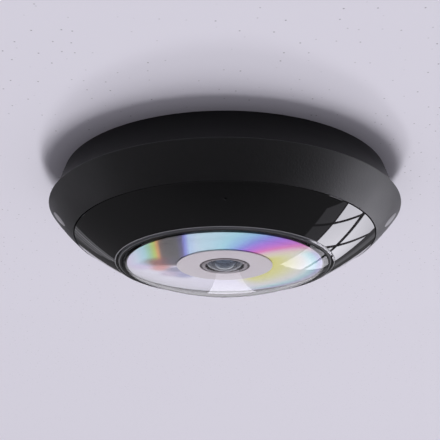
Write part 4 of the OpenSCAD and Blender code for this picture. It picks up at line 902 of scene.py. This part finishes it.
# A second, narrow window beside it, and two faint panes below the first
panes += [pane(lambda z: 1.19, lambda z: 1.57, lambda t: -1.7, lambda t: -0.2, 1.7, 1.7),
          pane(lambda z: -0.55, lambda z: bar_1(z) - thin, lambda t: -1.75, lambda t: -1.30, 0.33, 0.33),
          pane(lambda z: bar_1(z) + thin, lambda z: 0.1, lambda t: -1.75, lambda t: -1.30, 0.28, 0.28)]
corners = np.array(panes).reshape(-1, 3)
places = foot_of + along * corners[:, :1] + np.array([0, 0, 1]) * corners[:, 1:2]
glowing("window", places, fours(corners), corners[:, 2], "daylight", "#f4f2fc")

# %% Dark room
# A round room that glows very faintly. The middle of its floor, 2.9 m down, pales from the near to the far
# side
dim, wall_r, floor_r, room_h = 0.105, 2600, 900, 2900
room_line = [[300, 2], [wall_r, 2], [wall_r, room_h], [floor_r, room_h], [0, room_h]]
room_points, room_faces = skin(turned(room_line, circle[::8]))
on_floor = (room_points[:, 2] < 1 - room_h) & (np.hypot(room_points[:, 0], room_points[:, 1]) < floor_r + 100)
lit = np.where(on_floor, 0.08 + 0.04 * room_points[:, 1] / floor_r, dim)
glowing("dark_room", room_points / 1000, room_faces, lit, "black_cards", "#f6f4fb")

# %% Pale walls
# Azimuth from and to, elevation from and to, in degrees, and strength. First those that the matte shell
# mirrors on its right and left, then two faint ones beside the window, then thin ones that make streaks on
# the face's left edge
walls = [(0, 24, -36, -12, 1.8), (-12, 24, -12, -1, 1.5), (150, 175, -38, -8, 0.48),
         (52, 82, -10.5, -6, 0.18), (52, 82, -6, -1, 0.3)]
streaks = [(-11.5, 0.6), (-10.7, 0.25), (-9.2, 0.9), (-8.4, 0.25), (-6.8, 0.7), (-6.2, 0.2), (-4.2, 0.55),
           (-3.6, 0.2), (-1, 0)]
walls += [(112, 150, low, high, power) for (low, power), (high, _) in zip(streaks, streaks[1:])]
walls_r = 2.1
sphere = lambda az, el: walls_r * np.array([np.cos(el) * np.cos(az), np.cos(el) * np.sin(az), np.sin(el)])
wall_points = np.array([sphere(*np.radians(c)) for a, b, low, high, _ in walls
                        for c in ((a, low), (b, low), (b, high), (a, high))])
powers = np.repeat([w[4] for w in walls], 4)
glowing("pale_walls", wall_points, fours(wall_points), powers, "pale_paint", "#f4f2fc")

# %% [markdown]
# ## Light
#
# Daylight comes from the far side and from below, as from a tall narrow window. One lamp can't give its
# shadow, which is sharp at its sides and fades along its length. Five suns one above the other do: the closer
# a sun stands to the ceiling, the longer its shadow and the narrower the sun. No mirror shows them. The world
# is a plain pale room, which the camera and mirrors see at full strength, while the light that it gives is
# weaker.

# %% Lamps
# Azimuth and angle below the ceiling in degrees, energy, and the sun's width in radians
for side, below, energy, soft in ((89, 28, 0.85, 0.1), (87, 34, 0.34, 0.12), (85, 40, 0.45, 0.14),
                                  (82, 47, 0.62, 0.2), (78, 62, 0.87, 0.3)):
    side, below = np.radians([side, below])
    lamp_data = bpy.data.lights.new("daylight_lamp", "SUN")
    lamp_data.angle, lamp_data.energy = soft, energy
    lamp = bpy.data.objects.new("daylight_lamp", lamp_data)
    lamp_from = Vector((np.cos(below) * np.cos(side), np.cos(below) * np.sin(side), -np.sin(below)))
    lamp.matrix_world = Matrix.Translation(lamp_from) @ lamp_from.to_track_quat("Z", "Y").to_matrix().to_4x4()
    lamp.visible_glossy = lamp.visible_transmission = False
    bpy.context.scene.collection.objects.link(lamp)
print("last lamp from", tuple(round(v, 2) for v in lamp_from))

# %% World
room_light = 0.36
world = bpy.data.worlds.new("pale_room")
world.use_nodes = True
tree = world.node_tree
tree.nodes.clear()
paths = add(tree, "LightPath").outputs
seen = reckon(tree, "MAXIMUM", paths["Is Camera Ray"], paths["Is Transmission Ray"])
seen = reckon(tree, "MAXIMUM", seen, paths["Is Glossy Ray"])
strength = spread(tree, seen, 0.0, 1.0, room_light, 1.0)
back = add(tree, "Background", Color=linear("#f1eff6"), Strength=strength)
add(tree, "OutputWorld", Surface=back.outputs[0])
bpy.context.scene.world = world
bpy.context.scene.view_settings.view_transform = "Standard"
print("world lights with", room_light)
